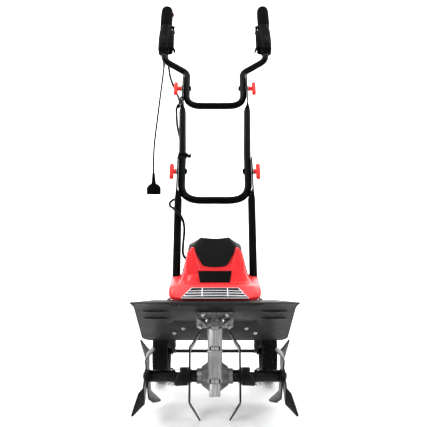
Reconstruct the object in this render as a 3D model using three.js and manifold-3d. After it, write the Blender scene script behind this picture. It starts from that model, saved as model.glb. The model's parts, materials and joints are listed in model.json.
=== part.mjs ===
// A corded electric garden tiller: worm gearbox on a column, four bolo tine wheels, soil guard,
// motor housing, tilting transport wheels and a handle that folds in three parts.
// Millimetres, +Z up, the front faces -Y. The origin is on the ground under the middle of the tiller.
import * as THREE from 'three';
import { mergeVertices } from 'three/addons/utils/BufferGeometryUtils.js';
import Module from 'manifold-3d';

const wasm = await Module();
wasm.setup();

// ---- driving dimensions -------------------------------------------------------------------------
const AXLE_Y = -383.9; // the tine axle, from the middle of the tiller
const AXLE_Z = 107.95;
const GAP = 0.3; // between two pieces that touch
const RUN = 0.08; // radial clearance of a shaft that turns in its bore

const TUBE_R = 11; // handle tubes
const TUBE_WALL = 1.5;
const HANDLE_ANGLE = 48; // degrees above the ground
const HANDLE_FOOT = [124, 225]; // where the handle's line leaves the motor housing
const LOWER_PIVOT = 350; // places along the handle's line
const UPPER_PIVOT = 695.7;
const LOWER_STRIP = 111.3; // half spacing of the flattened tube ends
const UPPER_STRIP = 106;
const MIDDLE_LEG = 98;
const UPPER_LEG = 92.7;
const GRIP_X = 175;
const FLAT_HALF = 2; // half thickness and half width of a tube pressed flat
const FLAT_WIDE = 16.5;

const COLUMN_LEAN = 25; // degrees back from upright
const COLUMN_FOOT = -29; // where the column's line meets the axle's height
const COLUMN_R = 17.5;
const COLUMN_TOP = 168;
const WORM_TEETH = 30; // on the worm wheel; the worm has one start
const WORM_PITCH_R = 5.2;
const WORM_DEPTH = 0.9; // half the tooth height
const WHEEL_CASE_R = 36;

const SHAFT_R = 9.5;
const TINE_WIDE = 21; // half width of a blade strip
const TINE_THICK = 4;
const TINE_BEND = 66; // from the axle to the fold
const TINE_FOLD = 36; // degrees
const TINE_BOW = { inner: 0, outer: -18 }; // turn of the fold line from square, in degrees
const LEAF_LONG = 45; // from the fold to the tip
const INNER_TINE_X = 65;
const OUTER_TINE_X = 169;
const TINE_CLOCK = 22.5;

const GUARD_HALF = 203;
const GUARD_THICK = 2.5;
const GUARD_LOW = [138, 43];
const GUARD_HIGH = [-37, 199];

const WHEEL_AT = [229, -24];
const WHEEL_R = 82;
const WHEEL_X = 152;
const TYRE_WIDE = 43;
const TILT_PIVOT = [130, 150];

// ---- materials ----------------------------------------------------------------------------------
const material = (color, roughness, metalness = 0) =>
  new THREE.MeshStandardMaterial({ color, roughness, metalness });
const RED = material(0xe0323a, 0.32);
const BLACK = material(0x1d1d1e, 0.5);
const PAINT = material(0x161617, 0.35, 0.4);
const RUBBER = material(0x18181a, 0.85);
const STEEL = material(0x9a9c9e, 0.35, 0.9);
const CAST = material(0xa9acae, 0.45, 0.8);
const BRONZE = material(0xa47a3c, 0.4, 0.9);
const COPPER = material(0x9a5a34, 0.5, 0.8);
const CHROME = material(0xdadcde, 0.15, 1);

// ---- frames: each maps its own (x, along, across) to the tiller's frame -------------------------
function frame(origin, along) {
  const x = new THREE.Vector3(1, 0, 0);
  const y = new THREE.Vector3(0, along[0], along[1]).normalize();
  const z = new THREE.Vector3().crossVectors(x, y);
  const shift = new THREE.Matrix4().makeTranslation(0, AXLE_Y + origin[0], AXLE_Z + origin[1]);
  return shift.multiply(new THREE.Matrix4().makeBasis(x, y, z));
}
const rad = THREE.MathUtils.degToRad;
const AXLE = frame([0, 0], [1, 0]);
const HANDLE = frame(HANDLE_FOOT, [Math.cos(rad(HANDLE_ANGLE)), Math.sin(rad(HANDLE_ANGLE))]);
// In the column's frame the second coordinate runs to the rear and the third runs up the motor's axis.
const COLUMN = frame([COLUMN_FOOT, 0], [Math.cos(rad(COLUMN_LEAN)), -Math.sin(rad(COLUMN_LEAN))]);
const GUARD_RUN = [GUARD_HIGH[0] - GUARD_LOW[0], GUARD_HIGH[1] - GUARD_LOW[1]];
// In the guard's frame the second coordinate runs up its slope and the third out of its underside.
const GUARD = frame([35, 136], GUARD_RUN);

// ---- shapes and solids --------------------------------------------------------------------------
function volumeOf(positions, index) {
  const corner = (k) => new THREE.Vector3().fromArray(positions, 3 * index[k]);
  let total = 0;
  for (let k = 0; k < index.length; k += 3) {
    total += corner(k).dot(corner(k + 1).cross(corner(k + 2)));
  }
  return total / 6;
}

// A solid from a closed geometry; one whose faces point in is turned.
function toSolid(geometry) {
  const bare = geometry.clone();
  bare.deleteAttribute('normal');
  bare.deleteAttribute('uv');
  const merged = mergeVertices(bare);
  const positions = new Float32Array(merged.attributes.position.array);
  const index = new Uint32Array(merged.index.array);
  if (volumeOf(positions, index) < 0) {
    index.reverse();
  }
  return new wasm.Manifold(new wasm.Mesh({ numProp: 3, vertProperties: positions, triVerts: index }));
}

function toGeometry(solid) {
  const mesh = solid.getMesh();
  const geometry = new THREE.BufferGeometry();
  geometry.setAttribute('position', new THREE.BufferAttribute(new Float32Array(mesh.vertProperties), 3));
  geometry.setIndex([...mesh.triVerts]);
  geometry.computeVertexNormals();
  return geometry;
}

const union = (first, ...others) => others.reduce((all, next) => all.add(next), first);
const cut = (first, ...others) => others.reduce((rest, next) => rest.subtract(next), first);

function box(x, y, z) {
  const geometry = new THREE.BoxGeometry(x[1] - x[0], y[1] - y[0], z[1] - z[0]);
  return geometry.translate((x[0] + x[1]) / 2, (y[0] + y[1]) / 2, (z[0] + z[1]) / 2);
}

// A round bar from one point to another; the second radius makes it a cone.
function bar(from, to, radius, sides = 24, endRadius = radius) {
  const a = new THREE.Vector3(...from);
  const b = new THREE.Vector3(...to);
  const axis = b.clone().sub(a);
  const geometry = new THREE.CylinderGeometry(endRadius, radius, axis.length(), sides);
  const turn = new THREE.Quaternion().setFromUnitVectors(new THREE.Vector3(0, 1, 0), axis.normalize());
  geometry.applyQuaternion(turn);
  const middle = a.add(b).multiplyScalar(0.5);
  return geometry.translate(middle.x, middle.y, middle.z);
}

// A turned piece about X: the profile holds [radius, x] pairs, given from low x to high x outside.
function turned(profile, sides = 32) {
  const geometry = new THREE.LatheGeometry(profile.map(([r, x]) => new THREE.Vector2(r, x)), sides);
  return geometry.rotateZ(-Math.PI / 2).rotateX(Math.PI);
}

// An outline in (y, z), drawn out along x.
function slab(outline, from, to) {
  const shape = new THREE.Shape(outline.map(([y, z]) => new THREE.Vector2(y, z)));
  const geometry = new THREE.ExtrudeGeometry(shape, { depth: to - from, bevelEnabled: false });
  const turn = new THREE.Matrix4().makeBasis(
    new THREE.Vector3(0, 1, 0),
    new THREE.Vector3(0, 0, 1),
    new THREE.Vector3(1, 0, 0),
  );
  return geometry.applyMatrix4(turn).translate(from, 0, 0);
}

// An outline in (x, y), drawn out along z.
function plate(outline, from, to) {
  const shape = new THREE.Shape(outline.map(([x, y]) => new THREE.Vector2(x, y)));
  return new THREE.ExtrudeGeometry(shape, { depth: to - from, bevelEnabled: false }).translate(0, 0, from);
}

// A skin through rings of equal count, closed at both ends. Each ring runs anticlockwise seen from the last.
function loft(rings) {
  const count = rings[0].length;
  const positions = rings.flat().flat();
  const index = [];
  for (let r = 0; r + 1 < rings.length; r += 1) {
    for (let k = 0; k < count; k += 1) {
      const a = r * count + k;
      const b = r * count + ((k + 1) % count);
      index.push(a, b, b + count, a, b + count, a + count);
    }
  }
  const last = (rings.length - 1) * count;
  for (let k = 1; k + 1 < count; k += 1) {
    index.push(0, k + 1, k);
    index.push(last, last + k, last + k + 1);
  }
  const geometry = new THREE.BufferGeometry();
  geometry.setAttribute('position', new THREE.Float32BufferAttribute(positions, 3));
  geometry.setIndex(index);
  return geometry;
}

// A rounded rectangle in a level plane, from its middle out to half width and between front and rear.
function levelRing(z, half, front, rear, inset, power = 5, count = 24) {
  const middle = (front + rear) / 2;
  const deep = (rear - front) / 2 - inset;
  return Array.from({ length: count }, (_, k) => {
    const angle = (2 * Math.PI * k) / count;
    const c = Math.cos(angle);
    const s = Math.sin(angle);
    const size = (Math.abs(c) ** power + Math.abs(s) ** power) ** (-1 / power);
    return [(half - inset) * c * size, middle + deep * s * size, z];
  });
}

const tiller = new THREE.Group();
tiller.name = 'tiller';

function add(name, shape, look, where = AXLE) {
  const geometry = shape.isBufferGeometry ? toGeometry(toSolid(shape)) : toGeometry(shape);
  geometry.applyMatrix4(where);
  const mesh = new THREE.Mesh(geometry, look);
  mesh.name = name;
  tiller.add(mesh);
}

const SIDES = [['left', -1], ['right', 1]];
const mirrorX = (pair, side) => (side < 0 ? [-pair[1], -pair[0]] : pair);

// ---- handle tubes -------------------------------------------------------------------------------
// Rounds the corners of a line of (x, t) points; each corner may carry the length it is rounded over.
function rounded(corners, steps = 4) {
  const points = [];
  corners.forEach(([x, t, over], k) => {
    if (!over) {
      points.push([x, t]);
      return;
    }
    const at = new THREE.Vector2(x, t);
    const toward = (other) =>
      new THREE.Vector2(other[0], other[1]).sub(at).normalize().multiplyScalar(over).add(at);
    const curve = new THREE.QuadraticBezierCurve(toward(corners[k - 1]), at, toward(corners[k + 1]));
    curve.getPoints(steps).forEach((p) => points.push([p.x, p.y]));
  });
  return points;
}

// A hollow tube along stations [x, t, flatness] in the handle's plane, open at both ends.
function tube(stations, sides = 12) {
  const rings = { outer: [], inner: [] };
  stations.forEach(([x, t, flat = 0], k) => {
    const before = stations[Math.max(k - 1, 0)];
    const after = stations[Math.min(k + 1, stations.length - 1)];
    const run = new THREE.Vector2(after[0] - before[0], after[1] - before[1]).normalize();
    const across = new THREE.Vector2(run.y, -run.x);
    const outer = [TUBE_R + (FLAT_HALF - TUBE_R) * flat, TUBE_R + (FLAT_WIDE - TUBE_R) * flat];
    const bore = TUBE_R - TUBE_WALL;
    const inner = [bore + (FLAT_HALF / 4 - bore) * flat, bore + (FLAT_WIDE - TUBE_WALL - bore) * flat];
    for (const [list, size, count] of [[rings.outer, outer, sides], [rings.inner, inner, sides / 2]]) {
      list.push(Array.from({ length: count }, (_, j) => {
        const angle = (2 * Math.PI * (j + 0.5)) / count;
        const a = size[0] * Math.cos(angle);
        return [x + across.x * a, t + across.y * a, size[1] * Math.sin(angle)];
      }));
    }
  });
  return cut(toSolid(loft(rings.outer)), toSolid(extended(rings.inner)));
}

// The same rings with the first and last moved out, so that a cut runs through the ends.
function extended(rings) {
  const moved = rings.map((ring) => ring.map((p) => [...p]));
  for (const [end, next] of [[0, 1], [rings.length - 1, rings.length - 2]]) {
    moved[end].forEach((p, k) => {
      const q = rings[next][k];
      const length = Math.hypot(p[0] - q[0], p[1] - q[1]);
      p[0] += (p[0] - q[0]) / length;
      p[1] += (p[1] - q[1]) / length;
    });
  }
  return loft(moved);
}

const BOLT_R = 4;
const boltHole = (x, t) => toSolid(bar([x - 30, t, 0], [x + 30, t, 0], BOLT_R + GAP, 12));

function lowerTube(side) {
  const low = LOWER_PIVOT - 65;
  const line = [
    [101, -60],
    [105.8, low - 40],
    [106.5, low - 30, 0.15],
    [108.5, low - 20, 0.5],
    [110.6, low - 10, 0.85],
    [LOWER_STRIP, low, 1],
    [LOWER_STRIP, LOWER_PIVOT + 50, 1],
  ];
  const stations = line.map(([x, t, flat]) => [side * x, t, flat]);
  return cut(tube(stations), boltHole(side * LOWER_STRIP, LOWER_PIVOT));
}

function uTube(half, holes) {
  const left = half.map(([x, t, flat]) => [-x, t, flat]);
  const right = [...half].reverse();
  return cut(tube([...left, ...right]), ...holes.flatMap(([x, t]) => [boltHole(-x, t), boltHole(x, t)]));
}

function middleTube() {
  const low = UPPER_PIVOT - 70;
  const flat = [
    [UPPER_STRIP, UPPER_PIVOT + 52, 1],
    [UPPER_STRIP, low, 1],
    [105.7, low - 9, 0.85],
    [104.9, low - 18, 0.5],
    [104, low - 27, 0.15],
  ];
  const bend = [97.5, 244.5, 58];
  const round = rounded([[103.4, low - 36], [MIDDLE_LEG, LOWER_PIVOT + 55], bend, [0, 244.5]]);
  round.pop();
  return uTube([...flat, ...round], [[UPPER_STRIP, UPPER_PIVOT], [MIDDLE_LEG, LOWER_PIVOT]]);
}

function upperTube() {
  const line = rounded([
    [GRIP_X, 1050],
    [GRIP_X, 831, 28],
    [UPPER_LEG, 767, 17],
    [UPPER_LEG, 616.6, 50],
    [0, 616.6],
  ]);
  line.pop();
  return uTube(line, [[UPPER_LEG, UPPER_PIVOT]]);
}

for (const [name, side] of SIDES) {
  add(`lower_tube_${name}`, lowerTube(side), PAINT, HANDLE);
}
add('middle_u_tube', middleTube(), PAINT, HANDLE);
add('upper_u_tube', upperTube(), PAINT, HANDLE);

// ---- wing knobs of the two folds ----------------------------------------------------------------
const WING_LONG = 27;
const WING_IN = 122; // half spacing of the wings' inner faces
const WING_OUT = 135.5;

// A wing knob moulded on its bolt, which runs through the flattened tube end and the leg.
function knob(side, leg, strip) {
  const wing = [
    [-6.5, WING_IN],
    [-6.5, WING_OUT],
    [6.5, WING_OUT],
    [6.5, WING_IN],
  ];
  const rings = [-WING_LONG, -WING_LONG + 5, WING_LONG - 5, WING_LONG].map((t, k) => {
    const small = k === 0 || k === 3 ? 3 : 0;
    const points = wing.map(([n, x]) => [side * (x + Math.sign(129 - x) * small), t, n * (1 - small / 6)]);
    return side < 0 ? points.reverse() : points;
  });
  const stem = bar([side * (strip + FLAT_HALF + GAP), 0, 0], [side * (WING_IN + 1), 0, 0], 9, 20, 7);
  const bolt = bar([side * (leg - TUBE_R - 5), 0, 0], [side * WING_IN, 0, 0], BOLT_R, 16);
  return union(toSolid(loft(rings)), toSolid(stem), toSolid(bolt));
}

const FOLDS = [
  ['lower', LOWER_PIVOT, MIDDLE_LEG, LOWER_STRIP],
  ['upper', UPPER_PIVOT, UPPER_LEG, UPPER_STRIP],
];
for (const [fold, t, leg, strip] of FOLDS) {
  const where = HANDLE.clone().multiply(new THREE.Matrix4().makeTranslation(0, t, 0));
  for (const [name, side] of SIDES) {
    add(`${fold}_knob_${name}`, knob(side, leg, strip), RED, where);
  }
}

// ---- grips, switch box, levers ------------------------------------------------------------------
const BOX_LOW = 869; // the switch boxes run up to here along the handle, the grips go on above
const BOX_HIGH = 984;
const GRIP_LOW = 998;
const GRIP_HIGH = 1107;
const GRIP_R = 22;
const LEVER_AT = [148, 988];
const BUTTON_T = 1073;

function grip(side) {
  const profile = [
    [0, GRIP_LOW],
    [GRIP_R - 2, GRIP_LOW],
    [GRIP_R, GRIP_LOW + 3],
    [GRIP_R, GRIP_HIGH - 12],
    [GRIP_R - 4, GRIP_HIGH - 3.5],
    [GRIP_R - 12, GRIP_HIGH],
    [0, GRIP_HIGH],
  ];
  const body = new THREE.LatheGeometry(profile.map(([r, t]) => new THREE.Vector2(r, t)), 18);
  body.translate(side * GRIP_X, 0, 0);
  const bore = bar([side * GRIP_X, GRIP_LOW - 1, 0], [side * GRIP_X, 1052, 0], TUBE_R + GAP, 16);
  if (side > 0) {
    return cut(toSolid(body), toSolid(bore));
  }
  const well = bar([-GRIP_X + 8, BUTTON_T, 0], [-GRIP_X + 30, BUTTON_T, 0], 8.5, 20);
  return cut(toSolid(body), toSolid(bore), toSolid(well));
}

function switchBox(side) {
  const x = (value) => side * value;
  const wide = mirrorX([160, 197], side);
  const body = toSolid(box(wide, [BOX_LOW, BOX_HIGH], [-19, 19]));
  const ears = [[11.3, 14.5], [-14.5, -11.3]].map((n) =>
    toSolid(box(mirrorX([143, 168], side), [LEVER_AT[1] - 16, LEVER_AT[1] + 7], n)));
  const bore = bar([x(GRIP_X), BOX_LOW - 1, 0], [x(GRIP_X), BOX_HIGH + 1, 0], TUBE_R + GAP, 16);
  const pinHoles = bar([x(LEVER_AT[0]), LEVER_AT[1], -16], [x(LEVER_AT[0]), LEVER_AT[1], 16], 1.6, 12);
  return cut(union(body, ...ears), toSolid(bore), toSolid(pinHoles));
}

function lever(side) {
  const x = (value) => side * value;
  const outline = [
    [x(143.5), LEVER_AT[1]],
    [x(143.5), 892],
    [x(138), 878],
    [x(142), 875],
    [x(149), 890],
    [x(149.5), LEVER_AT[1]],
  ];
  if (side > 0) {
    outline.reverse();
  }
  const boss = bar([x(LEVER_AT[0]), LEVER_AT[1], -10.8], [x(LEVER_AT[0]), LEVER_AT[1], 10.8], 4.5, 20);
  const pin = bar([x(LEVER_AT[0]), LEVER_AT[1], -14], [x(LEVER_AT[0]), LEVER_AT[1], 14], 1.5, 12);
  return union(toSolid(plate(outline, -10.8, 10.8)), toSolid(boss), toSolid(pin));
}

for (const [name, side] of SIDES) {
  add(`grip_${name}`, grip(side), RUBBER, HANDLE);
  add(`switch_box_${name}`, switchBox(side), BLACK, HANDLE);
  add(`lever_${name}`, lever(side), BLACK, HANDLE);
}
const button = turned([[0, 0], [7, 0], [7, 11], [5.5, 12.5], [0, 12.5]], 20);
add('safety_button', button.translate(-GRIP_X + 13.5, BUTTON_T, 0), RED, HANDLE);

// ---- cords --------------------------------------------------------------------------------------
function cord(points, diameter, sides, steps) {
  const path = new THREE.CatmullRomCurve3(points.map((p) => new THREE.Vector3(...p)), false, 'centripetal');
  const section = new THREE.Shape(Array.from({ length: sides }, (_, k) => {
    const angle = (2 * Math.PI * k) / sides;
    return new THREE.Vector2(Math.cos(angle), Math.sin(angle)).multiplyScalar(diameter / 2);
  }));
  return new THREE.ExtrudeGeometry(section, { steps, extrudePath: path, bevelEnabled: false });
}

// The mains lead hangs from the left switch box; heights are above the tine axle.
const LEAD_Y = 717;
const LEAD = [
  [-178, LEAD_Y, 824],
  [-180.2, LEAD_Y, 807],
  [-184, LEAD_Y, 780],
  [-188, LEAD_Y, 752],
  [-191.8, LEAD_Y, 725],
  [-195.8, LEAD_Y, 697],
  [-199.8, LEAD_Y, 669],
  [-203.8, LEAD_Y, 641],
  [-208, LEAD_Y, 612],
  [-212, LEAD_Y, 584],
  [-215.3, LEAD_Y, 557],
  [-217.6, LEAD_Y, 530],
  [-219.1, LEAD_Y, 503],
  [-219.8, LEAD_Y, 478],
  [-219.9, LEAD_Y, 456],
];
add('mains_lead', cord(LEAD, 6.5, 8, 26), RUBBER);
const relief = bar([-176.4, LEAD_Y, 857], [-178, LEAD_Y, 824.4], 6.5, 16, 4);
add('lead_strain_relief', relief, RUBBER);

function plug() {
  const ring = (z, half, deep) => [
    [-219.9 + half, LEAD_Y - deep, z],
    [-219.9 + half, LEAD_Y + deep, z],
    [-219.9 - half, LEAD_Y + deep, z],
    [-219.9 - half, LEAD_Y - deep, z],
  ];
  const body = loft([ring(377, 25, 13), ring(400, 25, 13), ring(411, 19, 11)]);
  const neck = bar([-219.9, LEAD_Y, 405], [-219.9, LEAD_Y, 455.7], 9, 20, 4.5);
  const pins = [-9.5, 9.5].map((x) =>
    toSolid(bar([-219.9 + x, LEAD_Y + 10, 391], [-219.9 + x, LEAD_Y + 31, 391], 2.4, 12)));
  return union(toSolid(body), toSolid(neck), ...pins);
}
add('plug', plug(), BLACK);

// The motor cable follows the handle; each point is (x, t, n) in the handle's frame.
const CABLE = {
  motor_cable_upper: [
    [-165, 866, -14],
    [-162.5, 845, -17],
    [-159, 820, -26],
    [-153, 785, -33],
    [-144, 755, -36],
    [-137, 735, -36.5],
  ],
  motor_cable_upper_bend: [
    [-136.8, 734.6, -36.5],
    [-129, 712, -37],
    [-122, 690, -35],
    [-118, 668, -30],
    [-117.5, 650, -25.5],
    [-119.3, 641.2, -23.8],
  ],
  motor_cable_middle: [
    [-119.8, 639.2, -23.3],
    [-125, 622, -18],
    [-124, 600, -13],
    [-122, 570, -10],
    [-119, 540, -10],
    [-112, 505, -14],
    [-104, 465, -17.5],
    [-99.6, 430, -18.2],
    [-99.4, 400, -18.2],
    [-98.2, 350, -16.5],
    [-98.5, 307, -17],
  ],
  motor_cable_lower_bend: [
    [-98.9, 305, -17.2],
    [-103, 285, -21],
    [-113, 267, -21],
    [-124, 258, -19],
    [-130.4, 245, -14],
    [-129, 231, -7],
    [-122.5, 218, 3],
    [-118, 211.2, 8.6],
  ],
  motor_cable_lower: [
    [-116, 208.6, 10.4],
    [-106, 192, 16.5],
    [-93, 176, 15.5],
    [-87, 160, 9],
    [-84.8, 142, 4],
    [-86, 112, 2],
    [-87.2, 88, 2],
    [-86.8, 70, 2],
    [-83, 58, 2],
    [-77, 49, 2],
  ],
};
for (const [name, points] of Object.entries(CABLE)) {
  add(name, cord(points, 7.4, 8, Math.ceil(points.length * 1.6)), RUBBER, HANDLE);
}

function clip(legX, t, cableX, cableN) {
  const around = toSolid(bar([legX, t, 0], [legX, t + 14, 0], TUBE_R + 3.3, 16));
  const eye = toSolid(bar([cableX, t, cableN], [cableX, t + 14, cableN], 6.6, 12));
  const boss = toSolid(bar([legX + 20, t + 7, -5], [legX + 20, t + 7, 9], 6.2, 12));
  const web = toSolid(box([legX + 9, legX + 20], [t + 2, t + 12], [-4, 5]));
  const legHole = toSolid(bar([legX, t - 1, 0], [legX, t + 15, 0], TUBE_R + 2 * GAP, 16));
  const cableHole = toSolid(bar([cableX, t - 1, cableN], [cableX, t + 15, cableN], 4.3, 10));
  return cut(union(around, eye, boss, web), legHole, cableHole);
}
add('cable_clip_middle', clip(-MIDDLE_LEG - 0.2, 404, -99.4, -18.2), BLACK, HANDLE);

function strapClip() {
  const block = box([-113, -101], [634, 642], [-26, 17.8]);
  const slit = box([-UPPER_STRIP - 2.3, -UPPER_STRIP + 2.3], [633, 643], [-17, 17]);
  const eye = bar([-121.3, 634, -21.8], [-119, 642, -24.2], 7.5, 12);
  const cableHole = bar([-122.5, 630, -20.6], [-117.8, 646, -25.4], 5.2, 12);
  return cut(union(toSolid(block), toSolid(eye)), toSolid(slit), toSolid(cableHole));
}
add('cable_clip_upper', strapClip(), BLACK, HANDLE);

// ---- gearbox: two halves on a plane through the middle, a worm and its wheel --------------------
const wormWheelGap = Math.abs(COLUMN_FOOT) * Math.cos(rad(COLUMN_LEAN)); // from the worm's line to the axle
const wormWheelAt = Math.abs(COLUMN_FOOT) * Math.sin(rad(COLUMN_LEAN)); // along the worm's line
const WORM_BORE = 8.4;

function gearboxHalf(side) {
  const out = (a, b) => mirrorX([a, b], side);
  const across = (a, b, r, r2 = r, sides = 24) =>
    toSolid(bar([side * a, wormWheelGap, wormWheelAt], [side * b, wormWheelGap, wormWheelAt], r, sides, r2));
  const column = toSolid(bar([0, 0, -24], [0, 0, COLUMN_TOP], COLUMN_R, 20));
  const rib = toSolid(box([-6, 6], [-COLUMN_R - 5, 0], [-26, COLUMN_TOP - 22]));
  const rearRib = toSolid(box([-6, 6], [0, COLUMN_R + 5], [30, COLUMN_TOP - 50]));
  const disc = across(0, 17, WHEEL_CASE_R);
  const flange = across(0, 4, WHEEL_CASE_R + 5);
  const cone = across(17, 33, WHEEL_CASE_R - 1, 23);
  const boss = across(33, 45, 19);
  const ears = [[-22, 76], [22, 76], [-22, 128], [22, 128], [-24, -2]].map(([p, along]) =>
    toSolid(bar([-12, p, along], [12, p, along], 6, 8)));
  const half = box(out(GAP / 2, 60), [-90, 120], [-90, 200]);
  const cavity = across(-9.5, 9.5, 27.5);
  const bore = toSolid(bar([0, 0, -16], [0, 0, COLUMN_TOP + 1], WORM_BORE, 16));
  const axleBore = across(-60, 60, SHAFT_R + RUN, SHAFT_R + RUN, 32);
  const solid = union(column, rib, rearRib, disc, flange, cone, boss, ...ears);
  return cut(solid.intersect(toSolid(half)), cavity, bore, axleBore);
}
for (const [name, side] of SIDES) {
  add(`gearbox_${name}_half`, gearboxHalf(side), CAST, COLUMN);
}

// The wheel's teeth stand on its rim; the worm's single thread runs between them with backlash.
const toothPitch = (2 * Math.PI * (wormWheelGap - WORM_PITCH_R)) / WORM_TEETH;
const rimR = wormWheelGap - WORM_PITCH_R - WORM_DEPTH;

function wormWheel() {
  const tip = rimR + 2 * WORM_DEPTH;
  const outline = [];
  for (let k = 0; k < WORM_TEETH; k += 1) {
    const middle = Math.PI - rad(COLUMN_LEAN) + (2 * Math.PI * k) / WORM_TEETH;
    const step = toothPitch / (wormWheelGap - WORM_PITCH_R);
    for (const [r, share] of [[rimR, -0.25], [tip, -0.13], [tip, 0.13], [rimR, 0.25]]) {
      const angle = middle + share * step;
      outline.push([r * Math.cos(angle), r * Math.sin(angle)]);
    }
  }
  const rim = toSolid(slab(outline, -5, 5));
  const hub = toSolid(bar([-9, 0, 0], [9, 0, 0], 14, 24));
  const hole = toSolid(bar([-10, 0, 0], [10, 0, 0], SHAFT_R + GAP, 24));
  return cut(union(rim, hub), hole);
}

function wormShaft() {
  const around = 14;
  const perTurn = 6;
  const turns = 4;
  const low = wormWheelAt - (turns / 2) * toothPitch;
  const rings = [];
  for (let j = 0; j <= turns * perTurn; j += 1) {
    const along = low + (j / perTurn) * toothPitch;
    rings.push(Array.from({ length: around }, (_, k) => {
      const angle = (2 * Math.PI * k) / around;
      // A tooth of the wheel faces the worm here, so the thread passes half a pitch from it.
      const phase = (along - wormWheelAt) / toothPitch - (angle - Math.PI / 2) / (2 * Math.PI) + 0.5;
      const off = Math.abs(phase - Math.round(phase));
      const rise = THREE.MathUtils.clamp((0.26 - off) / 0.14, 0, 1);
      const r = WORM_PITCH_R - WORM_DEPTH + rise * 2 * WORM_DEPTH;
      return [r * Math.cos(angle), r * Math.sin(angle), along];
    }));
  }
  const thread = toSolid(loft(rings));
  const journal = toSolid(bar([0, 0, -15], [0, 0, low + 1], 3.5, 24));
  const shaft = toSolid(bar([0, 0, low + turns * toothPitch - 1], [0, 0, 332], 4, 24));
  return union(thread, journal, shaft);
}

add('worm_wheel', wormWheel(), BRONZE);
add('worm_shaft', wormShaft(), STEEL, COLUMN);

function ringOnColumn(from, to, outer, inner, sides = 24) {
  const body = toSolid(bar([0, 0, from], [0, 0, to], outer, sides));
  return cut(body, toSolid(bar([0, 0, from - 1], [0, 0, to + 1], inner, sides)));
}
add('lower_worm_bush', ringOnColumn(-14, -6, WORM_BORE - GAP, 3.5 + GAP, 24), BRONZE, COLUMN);
const upperBearing = ringOnColumn(COLUMN_TOP - 12, COLUMN_TOP - 2, WORM_BORE - GAP, 4 + GAP, 24);
add('upper_worm_bearing', upperBearing, STEEL, COLUMN);

// ---- motor --------------------------------------------------------------------------------------
const FLANGE_TOP = 178;
function motorFlange() {
  const body = toSolid(box([-56, 56], [-44, 44], [COLUMN_TOP + GAP, FLANGE_TOP]));
  return cut(body, toSolid(bar([0, 0, COLUMN_TOP - 1], [0, 0, FLANGE_TOP + 1], 7, 24)));
}
add('motor_flange', motorFlange(), CAST, COLUMN);
add('motor_stator', ringOnColumn(192, 280, 36, 22.5), STEEL, COLUMN);
add('rotor_core', ringOnColumn(194, 278, 21.5, 4 + GAP), COPPER, COLUMN);
function fan() {
  const hub = ringOnColumn(290, 302, 9, 4 + GAP, 24);
  const disc = ringOnColumn(290, 292, 33, 4 + GAP, 24);
  const blades = Array.from({ length: 6 }, (_, k) => {
    const blade = box([8, 32], [-1, 1], [291, 302]).rotateZ((k * Math.PI) / 3);
    return toSolid(blade);
  });
  return union(hub, disc, ...blades);
}
add('cooling_fan', fan(), BLACK, COLUMN);
function bearingBridge() {
  const ring = ringOnColumn(312, 322, 13, 4 + GAP, 24);
  const arms = toSolid(box([-60, 60], [-6, 6], [314, 320]));
  const hole = toSolid(bar([0, 0, 300], [0, 0, 330], 4 + GAP, 24));
  return cut(union(ring, arms), hole);
}
add('top_bearing_bridge', bearingBridge(), CAST, COLUMN);

// ---- motor housing, cap, grille and name plate --------------------------------------------------
// Level sections of the housing: height, half width, front, rear.
const HOUSING = [
  [199, 114, -15, 139],
  [206, 115, -16, 140],
  [214, 115.5, -4, 142],
  [221, 113, 8, 145],
  [228, 92, 19, 148],
  [236, 86, 27, 150],
  [247, 81.5, 33, 155],
  [259, 79, 40, 158],
  [270, 77, 45, 161],
  [290, 72, 50, 164],
  [308, 67, 55, 164],
];
const WALL = 3;

function motorHousing() {
  const outer = toSolid(loft(HOUSING.map(([z, half, front, rear]) => levelRing(z, half, front, rear, 0))));
  const hollow = HOUSING.map(([z, half, front, rear]) => levelRing(z, half, front, rear, WALL));
  hollow.unshift(levelRing(197, 114, -15, 139, WALL));
  hollow.push(levelRing(310, 67, 55, 164, WALL));
  const inHandle = (geometry) => toSolid(geometry.applyMatrix4(HANDLE).applyMatrix4(AXLE.clone().invert()));
  const sockets = SIDES.map(([, side]) =>
    inHandle(bar([side * 101.4, -28, 0], [side * 101.9, -8, 0], 14.5, 16)));
  const tubes = SIDES.map(([, side]) => inHandle(bar([side * 101, -60, 0], [side * 102.6, 40, 0], 11.5, 16)));
  const cableHole = inHandle(bar([-88, 56, 2], [-66, 40, 2], 4.6, 16));
  return cut(union(outer, ...sockets), toSolid(loft(hollow)), ...tubes, cableHole);
}
add('motor_housing', motorHousing(), RED);

const CAP = [
  [308.3, 68.5, 52, 165.5],
  [312, 66, 53, 164.5],
  [320, 55, 57, 157],
  [327, 44, 61, 148],
  [330, 38, 65, 140],
];
function topCap() {
  const outer = toSolid(loft(CAP.map(([z, half, front, rear]) => levelRing(z, half, front, rear, 0, 3.5))));
  const hollow = [levelRing(306, 67, 55, 164, WALL, 3.5)];
  for (const [z, half, front, rear] of CAP.slice(1, 4)) {
    hollow.push(levelRing(z - 2, half, front, rear, WALL, 3.5));
  }
  const tongue = toSolid(plate([[-20, -38], [20, -38], [30, -32], [50, 0], [-50, 0], [-30, -32]], 0.4, 4)
    .rotateX(Math.PI / 2 - 0.26)
    .translate(0, 54, 309));
  return cut(union(outer, tongue), toSolid(loft(hollow)));
}
add('top_cap', topCap(), BLACK);

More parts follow.
